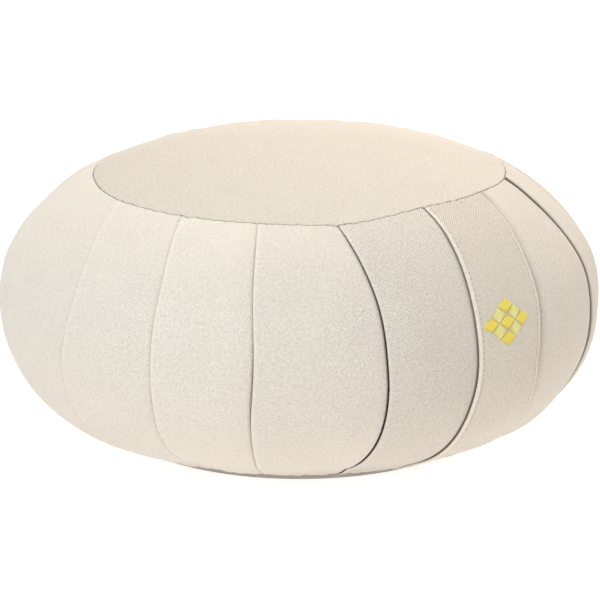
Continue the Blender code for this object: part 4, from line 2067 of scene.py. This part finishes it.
@dataclass
class Studio:
    """The plain pale floor, soft white light and the camera."""

    floor_size: float = 80.0
    floor_drop: float = 0.2 * MM
    world: float = 0.50
    camera_distance: float = 1.0
    camera_rise: float = 18.13
    target_height: float = 0.0733
    lens: float = 98.03
    sensor: float = 36.0
    shift: float = 0.0009
    floor: FloorFinish = field(default_factory=FloorFinish)

    def lay_floor(self) -> None:
        """Lays the floor just under the cushion."""
        bpy.ops.object.select_all(action="DESELECT")
        bpy.ops.mesh.primitive_plane_add(size=self.floor_size, location=(0.0, 0.0, -self.floor_drop))
        floor = bpy.context.object
        bpy.ops.object.transform_apply(location=True, rotation=False, scale=False)
        floor.name = "studio_floor"
        floor.data.materials.append(self.floor.make())

    def aim(self, thing: bpy.types.Object, turn: float, rise: float, distance: float) -> None:
        """Stands a light or the camera somewhere round the cushion, and points it there.

        Args:
            thing: The light or the camera.
            turn: Its angle round the cushion.
            rise: Its angle above the floor.
            distance: How far off it stands.
        """
        target = Vector((0.0, 0.0, self.target_height))
        flat = distance * math.cos(math.radians(rise))
        height = distance * math.sin(math.radians(rise))
        thing.location = target + Vector(around_axis(turn, flat, height))
        thing.rotation_euler = (target - thing.location).to_track_quat("-Z", "Y").to_euler()

    def light(self) -> None:
        """Sets an even white world, a cool key from the front left, and warm top and back lights."""
        scene = bpy.context.scene
        world = bpy.data.worlds.new("studio")
        world.use_nodes = True
        background = world.node_tree.nodes["Background"]
        background.inputs["Color"].default_value = (1.0, 1.0, 1.0, 1.0)
        background.inputs["Strength"].default_value = self.world
        scene.world = world
        scene.view_settings.view_transform = "Standard"
        for light in LIGHTS:
            data = bpy.data.lights.new(light.name, "AREA")
            data.size = light.size
            data.energy = light.power
            data.color = light.colour
            self.aim(put_in_scene(light.name, data), light.turn, light.rise, light.distance)

    def place_camera(self) -> None:
        """Places the camera in front, a little above the cushion."""
        data = bpy.data.cameras.new("camera")
        data.lens = self.lens
        data.sensor_width = self.sensor
        data.shift_x = self.shift
        camera = put_in_scene("camera", data)
        self.aim(camera, 0.0, self.camera_rise, self.camera_distance)
        bpy.context.scene.camera = camera

    def build(self) -> None:
        """Sets up the floor, the light and the camera."""
        self.lay_floor()
        self.light()
        self.place_camera()


def report(piece: bpy.types.Object) -> None:
    """Logs a piece that has been built."""
    LOG.info("%s: %d faces", piece.name, len(piece.data.polygons))


def main() -> None:
    """Builds the cushion piece by piece, and its studio."""
    logging.basicConfig(level=logging.INFO, format="%(name)s: %(message)s")
    form = CushionForm()
    relief = Relief(form)
    roll = SeamRoll()
    thread = ThreadFinish("cream thread", (0.64, 0.56, 0.46))
    gold = ThreadFinish("golden satin thread", (0.83, 0.64, 0.10), contrast=0.08, roughness=0.45)
    lemon = ThreadFinish("lemon satin thread", (0.85, 0.78, 0.30), contrast=0.08, roughness=0.45)
    # All four twills are one cloth. The top's and the bottom's colours are darker than the side's, with
    # painted shade.
    top_twill = TwillCloth("top twill", (0.652, 0.571, 0.472))
    bottom_twill = TwillCloth("bottom twill", (0.630, 0.553, 0.460))
    side_twill = TwillCloth("side twill", (0.690, 0.606, 0.510))
    strip_twill = TwillCloth("strip twill", (0.684, 0.594, 0.486), painted_furrow_shade=0.30)
    strip = ClosingStrip(form, relief, roll, strip_twill)
    sewing = SeamStitching(form, relief, thread)
    report(TopPanel(form, relief, roll, top_twill).build())
    report(BottomPanel(form, relief, roll, bottom_twill).build())
    report(SideWall(form, relief, roll, side_twill).build())
    report(strip.build())
    report(sewing.build("top_seam_stitches", 0.0, form.seam_radius, "top_cloth"))
    report(sewing.build("foot_seam_stitches", 1.0, form.foot_radius, "bottom_cloth"))
    report(Topstitching(strip, thread).build())
    for piece in Ornament(strip, (gold, lemon)).build():
        report(piece)
    Studio().build()


if __name__ == "__main__":
    main()
